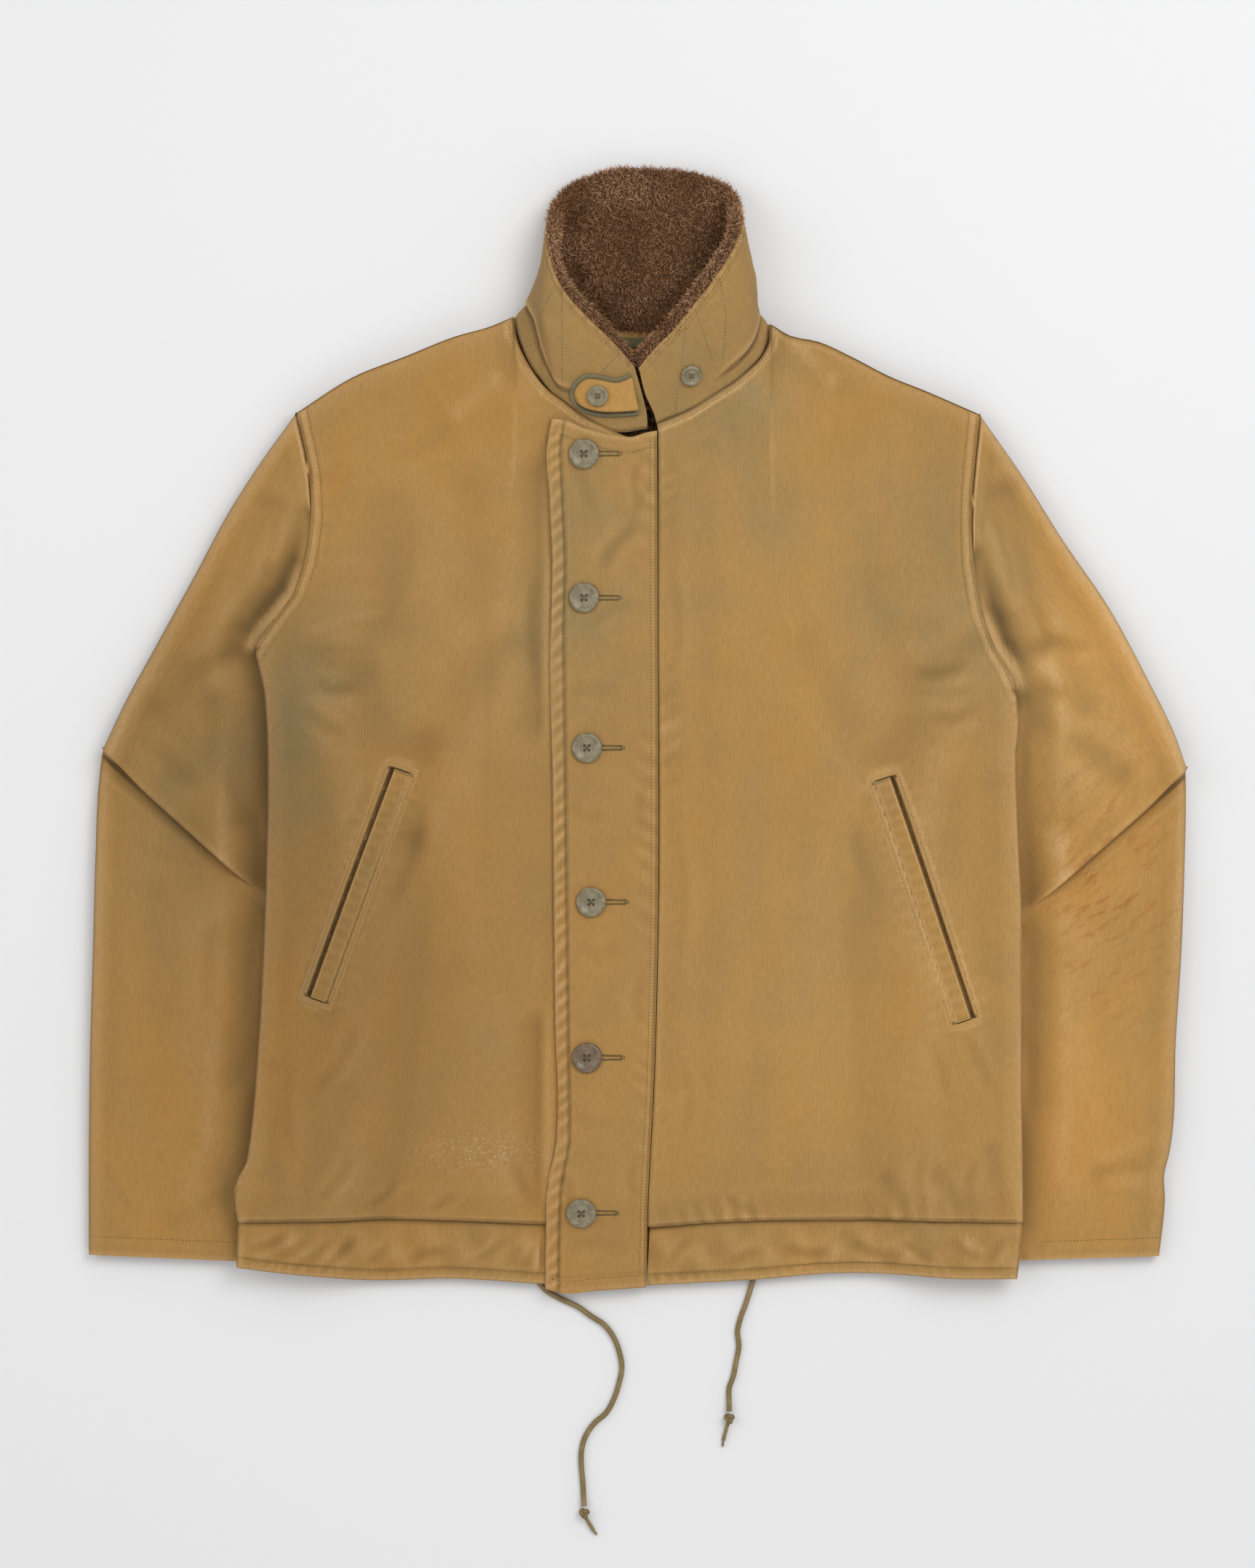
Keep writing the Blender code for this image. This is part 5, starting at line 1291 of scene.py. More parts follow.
def growPile(name, roots, ways, dice, comb, settings, extra=None):
    count = len(roots)
    swirl = np.column_stack([softNoise(roots[:, 0] + roots[:, 2], roots[:, 1], 16, 101 + axis) for axis in range(3)])
    lean = comb + swirl * 1.1
    lean -= ways * np.sum(lean * ways, axis=1)[:, None]
    scatter = dice.normal(0, settings["scatter"], (count, 3))
    first = ways * 0.75 + lean * settings["lean"] * 0.5 + scatter
    second = ways * 0.25 + lean * settings["lean"] + scatter * 1.4
    first /= np.linalg.norm(first, axis=1)[:, None]
    second /= np.linalg.norm(second, axis=1)[:, None]
    length = settings["length"] * dice.uniform(0.6, 1.25, (count, 1))
    middle = roots + first * length * 0.55
    tip = middle + second * length * 0.5
    side = np.cross(first, dice.normal(0, 1, (count, 3)))
    side *= settings["width"] / 2 / np.linalg.norm(side, axis=1)[:, None]
    points = np.stack([roots - side, roots + side, middle + side * 0.8, middle - side * 0.8, tip], axis=1)
    points[..., 2] = np.maximum(points[..., 2], settings["above table"])
    start = np.arange(count)[:, None] * 5
    quads = (start + np.array([[0, 1, 2, 3]])).tolist()
    tips = (start + np.array([[3, 2, 4]])).tolist()
    made = addMesh(name, points.reshape(-1, 3), quads + tips, pileFinish, 180)
    tone = 0.30 + 0.30 * softNoise(roots[:, 0], roots[:, 1], 20, 111) + dice.normal(0, 0.24, count)
    # painted light and shade: strands high up are lighter, those low towards the neck opening darker
    tone += 0.35 * smoothStep((roots[:, 2] - 22.0) / 24.0) - 0.30 * smoothStep((330.0 - roots[:, 1]) / 50.0)
    setValues(made, "tone", np.repeat(np.clip(tone, 0, 1), 5))
    setValues(made, "tip", np.tile([0.0, 0.0, 0.6, 0.6, 1.0], count))
    return made


def makePile():
    over, under = pileForm()
    rows, columns = under.shape[:2]
    points = np.concatenate([over[::2, ::2].reshape(-1, 3), under[::2, ::2].reshape(-1, 3)])
    lowRows, lowColumns = under[::2, ::2].shape[:2]
    start = lowRows * lowColumns
    faces = gridFaces(lowRows, lowColumns).tolist() + gridFaces(lowRows, lowColumns, start)[:, ::-1].tolist()
    ring, lower = borderOf(lowRows, lowColumns), borderOf(lowRows, lowColumns, start)
    for index in range(len(ring)):
        after = (index + 1) % len(ring)
        faces.append((ring[after], ring[index], lower[index], lower[after]))
    base = addMesh("collar_pile_back", points, faces, pileFinish)
    # the lining under the strands is painted dark: painted shade beneath the pile
    setValues(base, "tone", np.full(len(points), 0.15))
    setValues(base, "tip", np.full(len(points), 0.1))
    finishPiece(base, ["collar_lining"])
    skin = np.concatenate([under, over[:-1][::-1][:7]])
    facing = surfaceNormals(skin)
    inward = under[: rows - 5] - over[: rows - 5]
    if np.sum(facing[: rows - 5] * inward) < 0:
        facing = -facing
    roots, ways, dice = strandsOn(skin, facing, pileSettings["strands"], 121)
    comb = np.column_stack([0.15 * np.ones(len(roots)), -0.55 * np.ones(len(roots)), np.zeros(len(roots))])
    roots = roots - ways * 1.2
    made = growPile("collar_pile", roots, ways, dice, comb, pileSettings)
    return finishPiece(made, [])


def makeNeckPile():
    dice = np.random.default_rng(131)
    count = pileSettings["neck strands"]
    x, y = dice.uniform(-52, 58, count), dice.uniform(214, 272, count)
    roots = np.column_stack([x, y, backTop(x, y) - 1.0])
    ways = np.tile([0.0, 0.0, 1.0], (count, 1))
    comb = np.tile([0.2, -0.5, 0.0], (count, 1))
    return finishPiece(growPile("neck_pile", roots, ways, dice, comb, pileSettings), [])


collarPile = makePile()
neckPile = makeNeckPile()
print("pile grown")


# Throat tab, its bound edge, and the hanger strip
tabSettings = {"steps": 123, "bound": 3.6, "under": 0.5, "clear": 0.6, "cloth": 2.0, "binding": 2.7}


def offsetLine(line, amount):
    run = np.gradient(line, axis=0)
    run = run / np.linalg.norm(run, axis=1)[:, None]
    return line + np.column_stack([-run[:, 1], run[:, 0]]) * amount


def restOn(trees, plan, clear, fallback):
    # the height of a stiff strip laid over cloth, each row carried by its highest point
    base = np.array([[dropOnto(trees, *point, fallback)[0] for point in row] for row in plan])
    level = np.repeat(base.max(axis=1)[:, None], plan.shape[1], axis=1)
    return blurred(np.maximum(base, level - clear) + clear, 1)


def recoloured(**changes):
    return {**clothColours, **changes}


tabCloth = makeCloth("tab cloth", recoloured(tan=(0.47, 0.245, 0.062), orange=(0.50, 0.245, 0.050),
                                              olive=(0.40, 0.235, 0.075)))
bindingCloth = makeCloth("binding tape", recoloured(tan=(0.165, 0.140, 0.072), orange=(0.150, 0.125, 0.060),
                                                    olive=(0.130, 0.115, 0.062), rubbed=(0.30, 0.25, 0.15)))


def makeTab():
    line = curveAt(tabOutline, even(tabSettings["steps"]))
    across = even(9)
    bound = np.stack([offsetLine(line, -tabSettings["bound"] * share) for share in across], axis=1)
    under = restOn([collarTree], bound, tabSettings["clear"], 40.0)
    full = tabSettings["binding"] * (0.3 + 0.7 * np.sqrt(1.0 - (2.0 * across - 1.0) ** 2))
    full = full - 0.35 * bump(across - 0.75, 0.1)
    outer = atHeight(bound, under + full[None])
    noGrime = np.zeros(under.shape)
    values = clothValues(outer, full[None] + noGrime, noGrime, noGrime, 12)
    binding = shellFrom("tab_binding", outer, atHeight(bound, under), bindingCloth, values=values)
    finishPiece(binding, ["throat_tab_binding"])
    inner = offsetLine(line, tabSettings["under"] - tabSettings["bound"])
    half = tabSettings["steps"] // 2
    lower, upper = inner[:half], inner[:half:-1]
    share = even(15)[None, :, None]
    face = lower[:, None] * (1 - share) + upper[:, None] * share
    x, y = face[..., 0], face[..., 1]
    under = restOn([collarTree], face, tabSettings["clear"], 40.0)
    relief = 0.22 * cloudNoise(x, y, 9, 141) - 0.5 * bump(distanceTo(inner, x, y), 1.0)
    outer = atHeight(face, under + tabSettings["cloth"] + relief)
    values = clothValues(outer, relief, 0.25 * bump(distanceTo(inner, x, y), 1.4), noGrime[:1, :1] + 0 * x, 13)
    made = shellFrom("tab_face", outer, atHeight(face, under), tabCloth, values=values)
    return finishPiece(made, ["throat_tab"]), binding


def makeHanger():
    x, y = np.meshgrid(np.linspace(-15, 15, 41), np.linspace(275, 282, 11))
    plan = np.dstack([x, y])
    under = backTop(x, y) + 0.4
    edge = np.minimum(y - 275.0, 282.0 - y)
    full = 1.6 * (0.4 + 0.6 * roundOff(edge + 0.2, 1.4)) - 0.3 * bump(edge - 1.6, 0.5)
    values = clothValues(atHeight(plan, under + full), full, 0.3 + 0 * x, 0 * x, 14)
    made = shellFrom("hanger_tape", atHeight(plan, under + full), atHeight(plan, under), bindingCloth, values=values)
    return finishPiece(made, ["hanger_strip"])


tabFace, tabBinding = makeTab()
hanger = makeHanger()
print("tab and hanger laid")


# Pocket welts, and the turned edge of the front round each opening
weltSettings = {"rows": 161, "columns": 21, "width": 12.0, "proud": 0.9, "thick": 3.2, "band": 9.0, "end": 0.4}
rimProfile = [(-0.2, -3.2), (0.0, -1.3), (0.4, -0.3), (1.1, 0.35), (2.0, 0.5), (3.0, 0.15), (3.8, 0.45), (5.0, 0.2),
              (6.4, -0.9)]


def makeWelt(side, seed):
    start, end, run, across = pocketFrame(side)
    length = float(np.linalg.norm(end - start))
    along = np.linspace(weltSettings["end"], length - weltSettings["end"], weltSettings["rows"])
    wide = np.linspace(-0.5, 0.5, weltSettings["columns"]) * weltSettings["width"]
    plan = start + run * along[:, None, None] + across * wide[None, :, None]
    x, y = plan[..., 0], plan[..., 1]
    edge = weltSettings["width"] / 2 - np.abs(wide)[None]
    band = np.sin(math.tau * along / weltSettings["band"] + 1.6 * softNoise(along, 0 * along, 26, 151))[:, None]
    relief = 0.28 * band * smoothStep(edge / 3.0) - 1.9 * (1.0 - roundOff(edge + 0.15, 2.0))
    level = frontForm(x, y, side) + weltSettings["proud"]
    outer = atHeight(plan, level + relief)
    grime = 0.15 * smoothStep((2.0 - edge) / 2.0) + 0 * x
    values = clothValues(outer, relief, grime, 0.5 * bump(edge - 0.6, 1.0) + 0 * x, seed)
    made = shellFrom("welt_" + side, outer, atHeight(plan, level - weltSettings["thick"]), clothMaterial, values=values)
    return finishPiece(made, ["pocket_welt_" + side])


def makePocketRim(side, seed):
    start, end, run, across = pocketFrame(side)
    length = float(np.linalg.norm(end - start))
    inner = -pocketSettings["width"] / 2
    outerSide = pocketSettings["width"] / 2 + pocketSettings["slit"]
    corners = np.array([(0, inner), (length / 2, inner), (length, inner), (length, outerSide), (0, outerSide), (0, inner)])
    ring = lineAt(corners, np.linspace(0, 1, 321)[:-1])
    middle = np.array([length / 2, (inner + outerSide) / 2])
    half = np.array([length / 2, (outerSide - inner) / 2])
    rows = []
    for offset, rise in rimProfile:
        spread = middle + (ring - middle) * (half + offset) / half
        plan = start + run * spread[:, :1] + across * spread[:, 1:]
        level = frontForm(plan[:, 0], plan[:, 1], side) + rise
        rows.append(np.column_stack([plan, level]))
    outer = np.stack(rows)
    rise = np.array([row[1] for row in rimProfile])[:, None] + 0 * outer[..., 0]
    lowered = outer - np.array([0.0, 0.0, 0.9])
    # painted shade: darker where the edge turns down into the slit; paler on its crest, wear with painted highlight
    grime = 0.55 * smoothStep((-0.2 - rise) / 1.0)
    grime[-1] = 0.0
    values = clothValues(outer, 0 * rise, grime, 0.45 * bump(rise - 0.3, 0.25), seed)
    made = shellFrom("pocket_edge_" + side, outer, lowered, clothMaterial, True, values)
    return finishPiece(made, [])


welts = {side: makeWelt(side, seed) for seed, side in enumerate(("right", "left"), 15)}
pocketRims = {side: makePocketRim(side, seed) for seed, side in enumerate(("right", "left"), 17)}
print("pockets made")


# Buttons: turned, four holes, thread through them
buttonSettings = {
    "big": 21.5, "small": 15.2, "segments": 64, "hole": 0.085, "hole place": 0.22, "thread": 0.9,
    "section": [(0, 2.2), (0.30, 2.2), (0.52, 2.3), (0.62, 2.5), (0.68, 2.95), (0.74, 3.2), (0.82, 3.3), (0.90, 3.15),
                (0.96, 2.75), (1.0, 2.1), (1.0, 1.5), (0.96, 0.8), (0.88, 0.3), (0.78, 0), (0, 0)],
}


def makeButtonFinish(name, colour, worn):
    button = Finish(name, Specular_IOR_Level=0.45, Coat_Roughness=0.25)
    cloud = button.noise(button.place(), 260.0, 3.0, 0.6)
    speck = button.noise(button.place(), 1500.0, 2.0, 0.6)
    mixed = button.mix(cloud.between(0.35, 0.7), colour, worn)
    button.plug(button.shader.inputs["Coat Weight"], 0.2 + cloud * 0.2)
    return button.finish(button.brighter(mixed, 0.85 + speck * 0.3), 0.3 + cloud * 0.2, speck, 0.00006)


def turnedButton(width):
    # a lathe of the section, with four holes taken through it
    section, count = buttonSettings["section"][1:-1], buttonSettings["segments"]
    turn = np.arange(count) * math.tau / count
    rings = [np.column_stack([share * width / 2 * np.cos(turn), share * width / 2 * np.sin(turn), 0 * turn + height])
             for share, height in section]
    points = np.concatenate(rings + [[(0, 0, buttonSettings["section"][0][1])], [(0, 0, 0)]])
    faces = gridFaces(len(rings), count, 0, True)[:, ::-1].tolist()
    top, last = len(rings) * count, (len(rings) - 1) * count
    for index in range(count):
        after = (index + 1) % count
        faces += [(top, index, after), (top + 1, last + after, last + index)]
    body = addMesh("button_blank", points, faces, buttonFinish)
    holes = []
    for quarter in range(4):
        angle = math.tau * (quarter + 0.5) / 4
        middle = np.array([math.cos(angle), math.sin(angle)]) * buttonSettings["hole place"] * width / 2
        start = len(holes) * 32
        holes.append(start)
        ringTurn = np.arange(16) * math.tau / 16
        flat = middle + np.column_stack([np.cos(ringTurn), np.sin(ringTurn)]) * buttonSettings["hole"] * width / 2
        low, high = np.column_stack([flat, 0 * ringTurn - 2]), np.column_stack([flat, 0 * ringTurn + 6])
        cutPoints = np.concatenate([low, high])
        cutFaces = [list(range(15, -1, -1)), list(range(16, 32))]
        cutFaces += [[step, (step + 1) % 16, 16 + (step + 1) % 16, 16 + step] for step in range(16)]
        cutter = addMesh("button_cutter", cutPoints, cutFaces, buttonFinish)
        cut = body.modifiers.new("hole", "BOOLEAN")
        cut.object, cut.operation, cut.solver = cutter, "DIFFERENCE", "EXACT"
        holes[-1] = cutter
    bpy.context.view_layer.update()
    shaped = bpy.data.meshes.new_from_object(body.evaluated_get(bpy.context.evaluated_depsgraph_get()))
    for helper in [body] + holes:
        bpy.data.objects.remove(helper)
    return shaped


def seatFor(trees, x, y, radius):
    turns = np.arange(8) * math.tau / 8
    ring = [Vector((x + radius * math.cos(turn), y + radius * math.sin(turn), 0)) for turn in turns]
    for point in ring:
        point.z = dropOnto(trees, point.x, point.y)[0]
    centre = Vector((x, y, dropOnto(trees, x, y)[0]))
    facing = Vector((0, 0, 0))
    for index, point in enumerate(ring):
        facing += (point - centre).cross(ring[(index + 1) % 8] - centre)
    facing.normalize()
    highest = max((point - centre).dot(facing) for point in ring + [centre])
    return centre + facing * (highest - 0.2), facing


def makeButton(node, place, width, trees, finish):
    seat, facing = seatFor(trees, *place, width / 2 * 0.85)
    tilt = Vector((0, 0, 1)).rotation_difference(facing)
    shaped = buttonShapes[width].copy()
    made = bpy.data.objects.new(node + "_turned", shaped)
    shaped.materials.clear()
    shaped.materials.append(finish)
    shaped.shade_smooth()
    shaped.set_sharp_from_angle(angle=math.radians(40))
    bpy.context.scene.collection.objects.link(made)
    made.location, made.rotation_mode, made.rotation_quaternion = seat * mm, "QUATERNION", tilt
    finishPiece(made, [node])
    reach = buttonSettings["hole place"] * width / 2 * math.sqrt(0.5)
    routes = []
    for sign in (-1, 1):
        ends = [(-reach, -sign * reach, 0.8), (-reach, -sign * reach, 2.3), (0, 0, 2.9), (reach, sign * reach, 2.3),
                (reach, sign * reach, 0.8)]
        routes.append([tuple(seat + tilt @ Vector(point)) for point in ends])
    return made, routes


buttonFinish = makeButtonFinish("olive button", (0.150, 0.122, 0.066), (0.235, 0.195, 0.115))
brownFinish = makeButtonFinish("brown button", (0.105, 0.068, 0.036), (0.170, 0.115, 0.065))
buttonShapes = {buttonSettings[size]: turnedButton(buttonSettings[size]) for size in ("big", "small")}
tabTree = surfaceTree(tabFace)
buttonPieces, threadRoutes = {}, []
for number, spot in enumerate(buttonPlaces["front"], 1):
    chosen = brownFinish if number == 5 else buttonFinish
    buttonPieces[number], routes = makeButton("button_front_%d" % number, spot, buttonSettings["big"], [flapTree], chosen)
    threadRoutes += routes
for node, trees in (("tab", [tabTree]), ("collar", [collarTree])):
    buttonPieces[node], routes = makeButton("button_" + node, buttonPlaces[node], buttonSettings["small"], trees, buttonFinish)
    threadRoutes += routes
print("buttons turned")


# Drawcord: braided ends with a knot and a frayed tip, on the routes of the solids
cordSettings = {"thickness": 3.9, "sides": 20, "step": 0.8, "braid": 0.17, "braid pitch": 5.2, "knot": 8.4, "tip": 2.6}
cordRoutes = {
    "right": {
        "route": [(-77, -386, 4.3), (-66, -401, 2.8), (-54, -408, 2.1), (-43, -413, 2.1), (-33, -420, 2.1),
                  (-24, -426, 2.1), (-17, -435, 2.1), (-13, -445, 2.1), (-11, -457, 2.1), (-13, -468, 2.1),
                  (-17, -480, 2.1), (-22, -489, 2.1), (-31, -497, 2.1), (-37, -506, 2.1), (-40, -517, 2.1),
                  (-40, -528, 2.1), (-39, -540, 2.1), (-38.5, -549, 2.6), (-38, -556, 4.0)],
        "knot": (-38, -561, 4.5), "tip": [(-36.6, -565.1, 2.9), (-30, -576.5, 1.7)],
    },
    "left": {
        "route": [(86, -383, 4.3), (82, -398, 2.8), (78, -411, 2.1), (74, -422, 2.1), (72, -431, 2.1), (73, -441, 2.1),
                  (71, -453, 2.1), (69, -463, 2.1), (66, -472, 2.1), (66, -481, 2.6), (66, -488, 4.0)],
        "knot": (66, -493, 4.5), "tip": [(64.85, -497.15, 2.85), (61, -512.5, 1.7)],
    },
}


def tubeGrid(line, radius, sides, braid=0.0, pitch=5.0):
    # rings round a line, their radius raised and sunk as by crossing strands
    run = np.gradient(line, axis=0)
    run /= np.linalg.norm(run, axis=1)[:, None]
    flat = np.cross(run, [0.31, 0.17, 0.94])
    flat /= np.linalg.norm(flat, axis=1)[:, None]
    rise = np.cross(flat, run)
    along = np.concatenate([[0.0], np.cumsum(np.linalg.norm(np.diff(line, axis=0), axis=1))])[:, None]
    turn = (np.arange(sides) * math.tau / sides)[None]
    phase = math.tau * along / pitch
    wide = radius + braid * np.cos(3 * turn + phase) * np.cos(3 * turn - phase)
    return line[:, None] + wide[..., None] * (np.cos(turn)[..., None] * flat[:, None] + np.sin(turn)[..., None] * rise[:, None])


def tubesMesh(name, grids, material):
    points, faces, start = [], [], 0
    for grid in grids:
        rows, sides = grid.shape[:2]
        points.append(grid.reshape(-1, 3))
        faces += gridFaces(rows, sides, start, True).tolist()
        faces.append([start + side for side in range(sides - 1, -1, -1)])
        faces.append([start + (rows - 1) * sides + side for side in range(sides)])
        start += rows * sides
    return addMesh(name, np.concatenate(points), faces, material)


def makeThreadFinish(name, colour, pale):
    thread = Finish(name, Specular_IOR_Level=0.2)
    twist = thread.noise(thread.place(), 1900.0, 2.0, 0.6)
    wear = thread.noise(thread.place(), 90.0, 3.0, 0.6)
    mixed = thread.mix((wear.between(0.4, 0.7)) * 0.6, colour, pale)
    return thread.finish(thread.brighter(mixed, 0.75 + twist * 0.5), 0.8 + twist * 0.1, twist, 0.0001)


cordFinish = makeThreadFinish("drawcord", (0.205, 0.150, 0.068), (0.310, 0.235, 0.120))
threadFinish = makeThreadFinish("olive thread", (0.105, 0.088, 0.040), (0.200, 0.165, 0.085))


def makeCord(side):
    rows = cordRoutes[side]
    length = lengthOf(curveAt(rows["route"], even(300)))
    count = int(length / cordSettings["step"])
    line = curveAt(rows["route"], even(count))
    radius = cordSettings["thickness"] / 2
    grid = tubeGrid(line, radius - 0.05, cordSettings["sides"], cordSettings["braid"], cordSettings["braid pitch"])
    cord = tubesMesh("cord_" + side, [grid], cordFinish)
    finishPiece(cord, ["drawcord_" + side])
    t = even(121) * math.tau
    flatScale, thin = (cordSettings["knot"] / 2 - 1.5) / 3.0, 1.5
    loop = np.column_stack([np.sin(t) + 2 * np.sin(2 * t), np.cos(t) - 2 * np.cos(2 * t), -1.7 * np.sin(3 * t)])
    loop = loop * np.array([flatScale, flatScale, 1.0]) + np.array(rows["knot"])
    knot = tubesMesh("cord_knot_" + side, [tubeGrid(loop, thin, 14, 0.1, 4.0)], cordFinish)
    finishPiece(knot, ["drawcord_knot_" + side])
    start, end = (np.array(point, float) for point in rows["tip"])
    dice = np.random.default_rng(161 if side == "right" else 163)
    core = start + (end - start) * even(15)[:, None] * 0.8
    grids = [tubeGrid(core, cordSettings["tip"] / 2, 12, 0.12, 3.5)]
    for strand in range(12):
        spread = np.array([dice.uniform(-1.5, 1.5), dice.uniform(-1.5, 1.5), dice.uniform(-0.5, 0.9)])
        shares = np.linspace(0.72, 1.0, 6)[:, None]
        line = start + (end - start) * shares + spread * ((shares - 0.72) / 0.28) ** 1.4
        grids.append(tubeGrid(line, 0.28, 6))
    tip = tubesMesh("cord_tip_" + side, grids, cordFinish)
    finishPiece(tip, ["drawcord_tip_" + side])
    path = (curveAt(rows["route"], even(count)) * mm).tolist()
    print("cord", side, round(length), "mm")
    return cord


cords = {side: makeCord(side) for side in cordRoutes}
buttonThread = tubesMesh("button_thread", [tubeGrid(curveAt(route, even(13)), buttonSettings["thread"] / 2, 8)
                                           for route in threadRoutes], threadFinish)
finishPiece(buttonThread, [])


# Stitching: short raised stitches in rows, worked buttonholes and bar tacks
stitchSettings = {"pitch": 2.3, "share": 0.62, "width": 0.62, "rise": 0.3, "sunk": 0.12}


def inset(line, amount, towards):
    # the line moved by an amount towards a point
    moved = [offsetLine(np.array(line, float), sign * amount) for sign in (-1, 1)]
    gaps = [np.hypot(*(option - np.array(towards)).T).mean() for option in moved]
    return moved[int(gaps[1] < gaps[0])]


def stitchesOn(line, trees, pitch=None):
    # starts and ends of the stitches that lie along a line, with the cloth they lie on
    pitch = pitch or stitchSettings["pitch"]
    length = lengthOf(line)
    count = max(int(length / pitch), 1)
    share = stitchSettings["share"] * pitch / length
    starts = lineAt(np.array(line, float), (np.arange(count) + 0.15) / count)
    ends = lineAt(np.array(line, float), np.minimum((np.arange(count) + 0.15) / count + share, 1.0))
    return [(start, end) for start, end in zip(starts, ends)], trees


def sewn(name, groups, width=None, rise=None):
    # one mesh of all the stitches in the groups
    width, rise = width or stitchSettings["width"], rise or stitchSettings["rise"]
    points, faces = [], []
    for pairs, trees in groups:
        for start, end in pairs:
            first, last = dropOnto(trees, *start, None), dropOnto(trees, *end, None)
            if first[0] is None or last[0] is None or abs(first[0] - last[0]) > 3.0:
                continue
            up = (first[1] + last[1]).normalized()
            low = Vector((*start, first[0])) - up * stitchSettings["sunk"]
            high = Vector((*end, last[0])) - up * stitchSettings["sunk"]
            run = high - low
            side = run.cross(up).normalized() * (width / 2)
            base = len(points)
            points.append(low)
            for share in (0.2, 0.8):
                middle = low + run * share
                points += [middle - side, middle + up * (rise + stitchSettings["sunk"]), middle + side]
            points.append(high)
            for one, two, three in ((0, 2, 1), (0, 3, 2), (0, 1, 3), (7, 4, 5), (7, 5, 6), (7, 6, 4)):
                faces.append((base + one, base + two, base + three))
            faces += [(base + 1, base + 2, base + 5, base + 4), (base + 2, base + 3, base + 6, base + 5),
                      (base + 3, base + 1, base + 4, base + 6)]
    made = addMesh(name, [tuple(point) for point in points], faces, threadFinish, 180)
    return finishPiece(made, [])


def acrossRows(start, end, width, pitch):
    # satin stitches side by side from start to end, each width long
    start, end = np.array(start, float), np.array(end, float)
    run = (end - start) / np.linalg.norm(end - start)
    side = np.array([-run[1], run[0]]) * width / 2
    spots = start + (end - start) * np.linspace(0, 1, int(np.linalg.norm(end - start) / pitch))[:, None]
    return [(spot - side, spot + side) for spot in spots]


def frontStitches(side):
    outline, tree = outlines[side], [frontTrees[side]]
    middle = (-140, 0) if side == "right" else (140, 0)
    arm = curveAt(outline["armhole"], even(60))
    neck = neckLines[side][3:]
    rows = [stitchesOn(inset(arm, 2.2, middle), tree), stitchesOn(inset(arm, 8.0, middle)[20:], tree),
            stitchesOn(inset(neck, 3.6, middle)[2:-2], tree)]
    start, end, run, across = pocketFrame(side)
    for offset in (-pocketSettings["width"] / 2 - 3.0, pocketSettings["width"] / 2 + pocketSettings["slit"] + 3.0):
        ends = [start + across * offset + run * 1.0, end + across * offset - run * 1.0]
        rows.append(stitchesOn(lineAt(np.array(ends), even(9)), [surfaceTree(pocketRims[side])]))
    return sewn("stitches_front_" + side, rows)


def pocketTacks(side):
    start, end, run, across = pocketFrame(side)
    half = pocketSettings["width"] / 2
    trees = [surfaceTree(pocketRims[side]), surfaceTree(welts[side])]
    pairs = []
    for corner, way in ((start, 1), (end, -1)):
        place = corner + run * way * 0.9
        pairs += acrossRows(place - across * (half + 1.6), place + across * (half + pocketSettings["slit"] + 1.6), 3.0, 0.7)
    return sewn("bar_tacks_" + side, [(pairs, trees)], 0.6, 0.5)


def bandStitches(side):
    outline = outlines[side]
    bottom = curveAt(outline["band bottom"], even(60))[1:-1] + np.array([0, 8.0])
    top = curveAt(outline["hem"], even(60))[1:-1]
    rows = [stitchesOn(bottom, [bandTrees[side]]), stitchesOn(top + np.array([0, 2.4]), [frontTrees[side]])]
    return sewn("stitches_hem_" + side, rows)


def flapStitches():
    left, right = curveAt(flapOutline["left"], even(90))[1:-1], curveAt(flapOutline["right"], even(90))[1:-1]
    top, bottom = curveAt(flapOutline["top"], even(30)), curveAt(flapOutline["bottom"], even(30))
    tree = [flapTree]
    rows = [stitchesOn(left + np.array([9.2, 0]), tree), stitchesOn(right - np.array([1.8, 0]), tree),
            stitchesOn(right - np.array([5.0, 0]), tree), stitchesOn((top - np.array([0, 11.0]))[2:-1], tree),
            stitchesOn((bottom + np.array([0, 9.0]))[2:-1], tree)]
    return sewn("stitches_flap", rows)


def workedHoles():
    pairs = []
    for x, y in buttonPlaces["front"]:
        for sign in (-1, 1):
            for step in np.linspace(0, 14.5, 20):
                near = 0.35 + 0.25 * bump(step, 5.0)
                pairs.append((np.array([x + 10.5 + step, y + sign * near]), np.array([x + 10.3 + step, y + sign * (near + 1.9)])))
        pairs += acrossRows((x + 24.2, y), (x + 26.8, y), 3.4, 0.7)
    return sewn("buttonholes", [(pairs, [flapTree])], 0.75, 0.45)


collarLines = [
    [(-53.3, 311.7), (-53.3, 238.6)], [(-58.9, 314.2), (-69.6, 291.5)], [(-69.6, 277), (-80.4, 273.9)],
    [(-8.5, 271.4), (-26.2, 253.8)], [(34.3, 294.1), (31.1, 255)], [(40.6, 297.8), (53.2, 262.6)],
    [(28, 242.5), (27.4, 224.8)], [(57.5, 320), (62.5, 296), (62, 276), (60, 262)],
]


def collarStitches():
    tree = [collarTree]
    rows = [stitchesOn(lineAt(np.array(line, float), even(13)), tree) for line in collarLines]
    grid = collarGrid(collarSpots(200), even(41))[0]
    rim = grid[-3, :, :2]
    rows += [stitchesOn(rim[2:52], tree), stitchesOn(rim[-52:-2], tree)]
    return sewn("stitches_collar", rows)


def tabStitches():
    line = curveAt(tabOutline, even(80))
    tree = [tabTree, surfaceTree(tabBinding)]
    return sewn("stitches_tab", [stitchesOn(offsetLine(line, -3.0)[2:-2], tree, 2.0)])


def cuffStitches(side):
    sign = -1 if side == "right" else 1
    line = np.array([(sign * 391.5, -361.5), (sign * 286, -366.0)] if side == "right" else [(374.5, -362.5), (288, -365.5)])
    return sewn("stitches_cuff_" + side, [stitchesOn(lineAt(line, even(21)), [sleeveTrees[side]])])


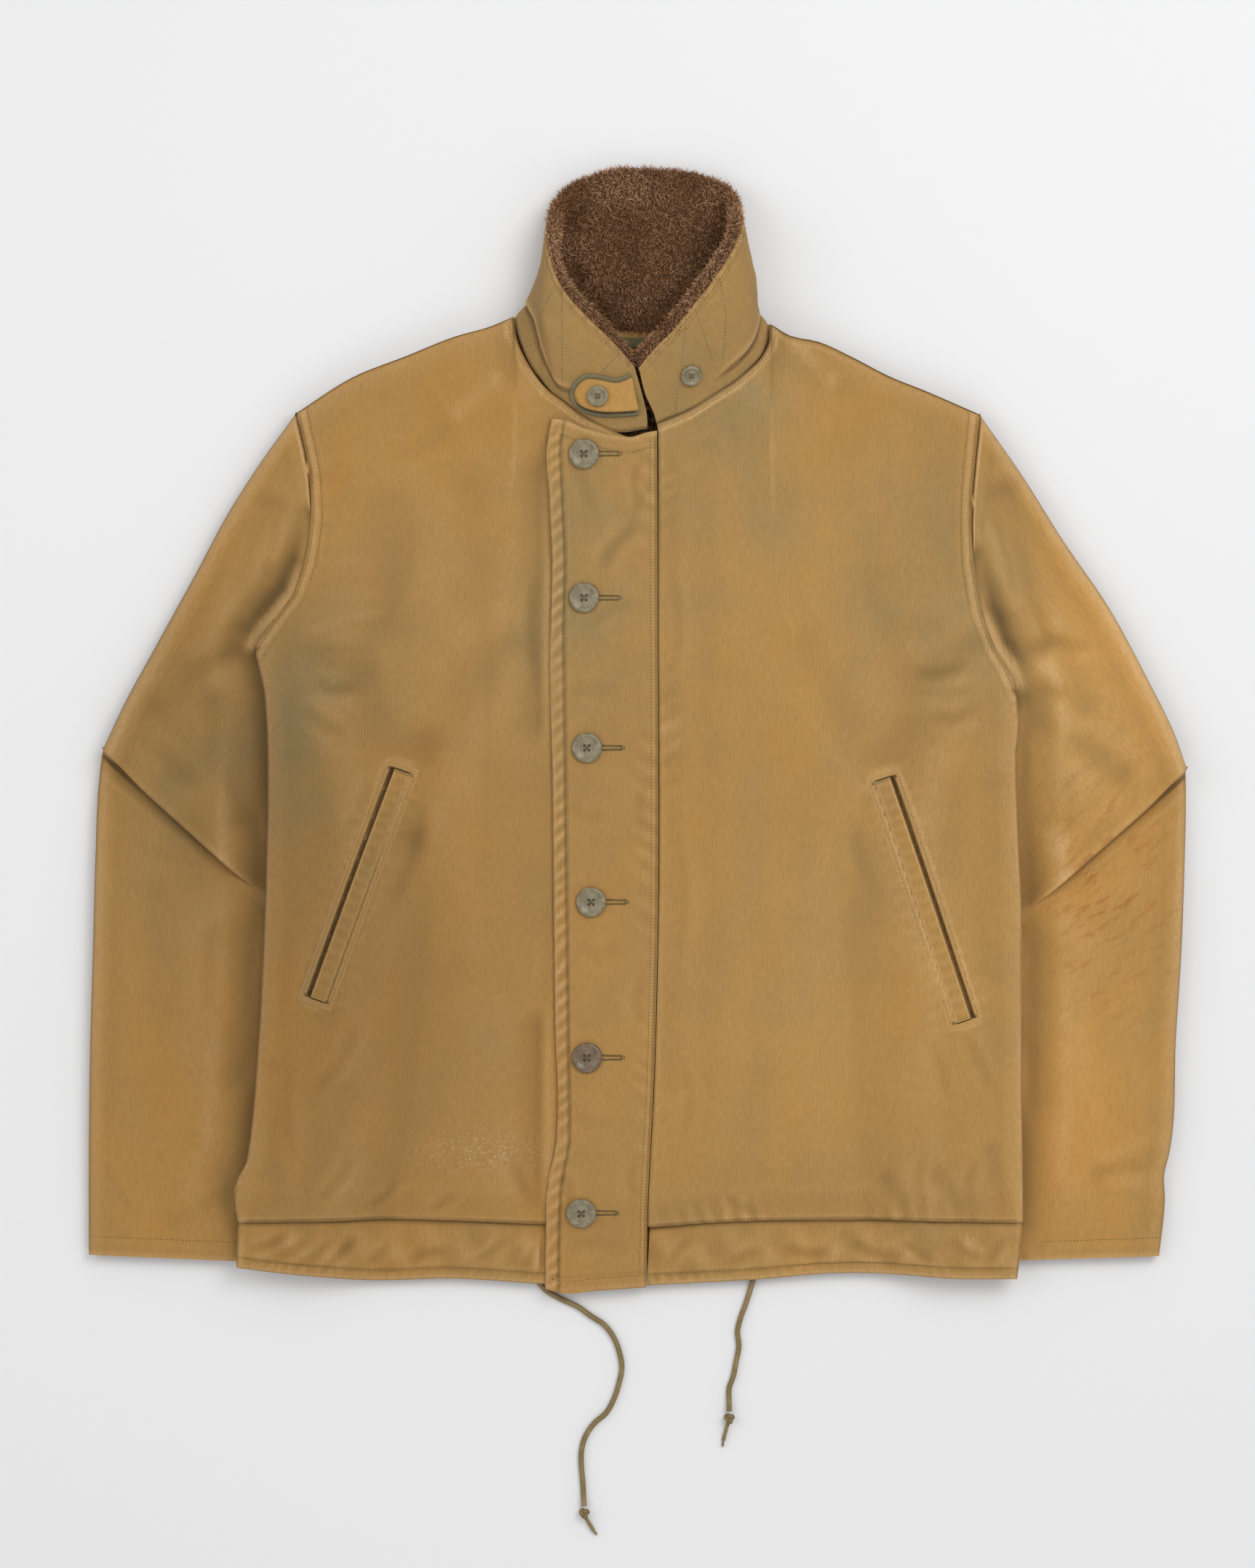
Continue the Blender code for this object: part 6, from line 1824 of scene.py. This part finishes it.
stitches = {side: [frontStitches(side), pocketTacks(side)] for side in outlines}
hemStitches = {side: bandStitches(side) for side in outlines}
flapSewing = [flapStitches(), workedHoles()]
collarSewing = collarStitches()
tabSewing = tabStitches()
cuffSewing = {side: cuffStitches(side) for side in outlines}
print("stitched")


flapSewing + [buttonThread]
for side in outlines:
    stitches[side] + [pocketRims[side]]


# Floor and light
studioSettings = {"floor": (0.74, 0.74, 0.745), "sky": 0.62, "key": 26.0, "fill": 9.0, "rim": 6.0}


def addLight(name, place, size, power, colour=(1.0, 1.0, 1.0)):
    data = bpy.data.lights.new(name, "AREA")
    data.shape = "RECTANGLE"
    data.size, data.size_y = size
    data.energy = power
    data.color = colour
    made = bpy.data.objects.new(name, data)
    made.location = place
    made.rotation_mode = "QUATERNION"
    made.rotation_quaternion = (Vector((0, 0, 0)) - Vector(place)).to_track_quat("-Z", "Y")
    bpy.context.scene.collection.objects.link(made)


def addStudio(settings):
    floorFinish = Finish("pale table", Specular_IOR_Level=0.2)
    speckle = floorFinish.noise(floorFinish.place(), 60.0, 3.0, 0.6)
    paint = floorFinish.mix(speckle, settings["floor"], tuple(value * 1.01 for value in settings["floor"]))
    material = floorFinish.finish(paint, 0.8 + speckle * 0.05)
    corners = [(-4000, -4000, 0), (4000, -4000, 0), (4000, 4000, 0), (-4000, 4000, 0)]
    addMesh("floor", corners, [(0, 1, 2, 3)], material)
    world = bpy.data.worlds.new("studio")
    bpy.context.scene.world = world
    world.use_nodes = True
    world.node_tree.nodes["Background"].inputs["Color"].default_value = (1.0, 1.0, 1.0, 1.0)
    world.node_tree.nodes["Background"].inputs["Strength"].default_value = settings["sky"]
    addLight("key", (0.9, 0.9, 2.0), (1.4, 1.4), settings["key"])
    addLight("fill", (-1.5, 0.3, 1.6), (1.2, 1.6), settings["fill"])
    addLight("foot", (0.2, -1.9, 1.5), (1.8, 0.9), settings["rim"])
    bpy.context.scene.view_settings.view_transform = "Standard"


addStudio(studioSettings)
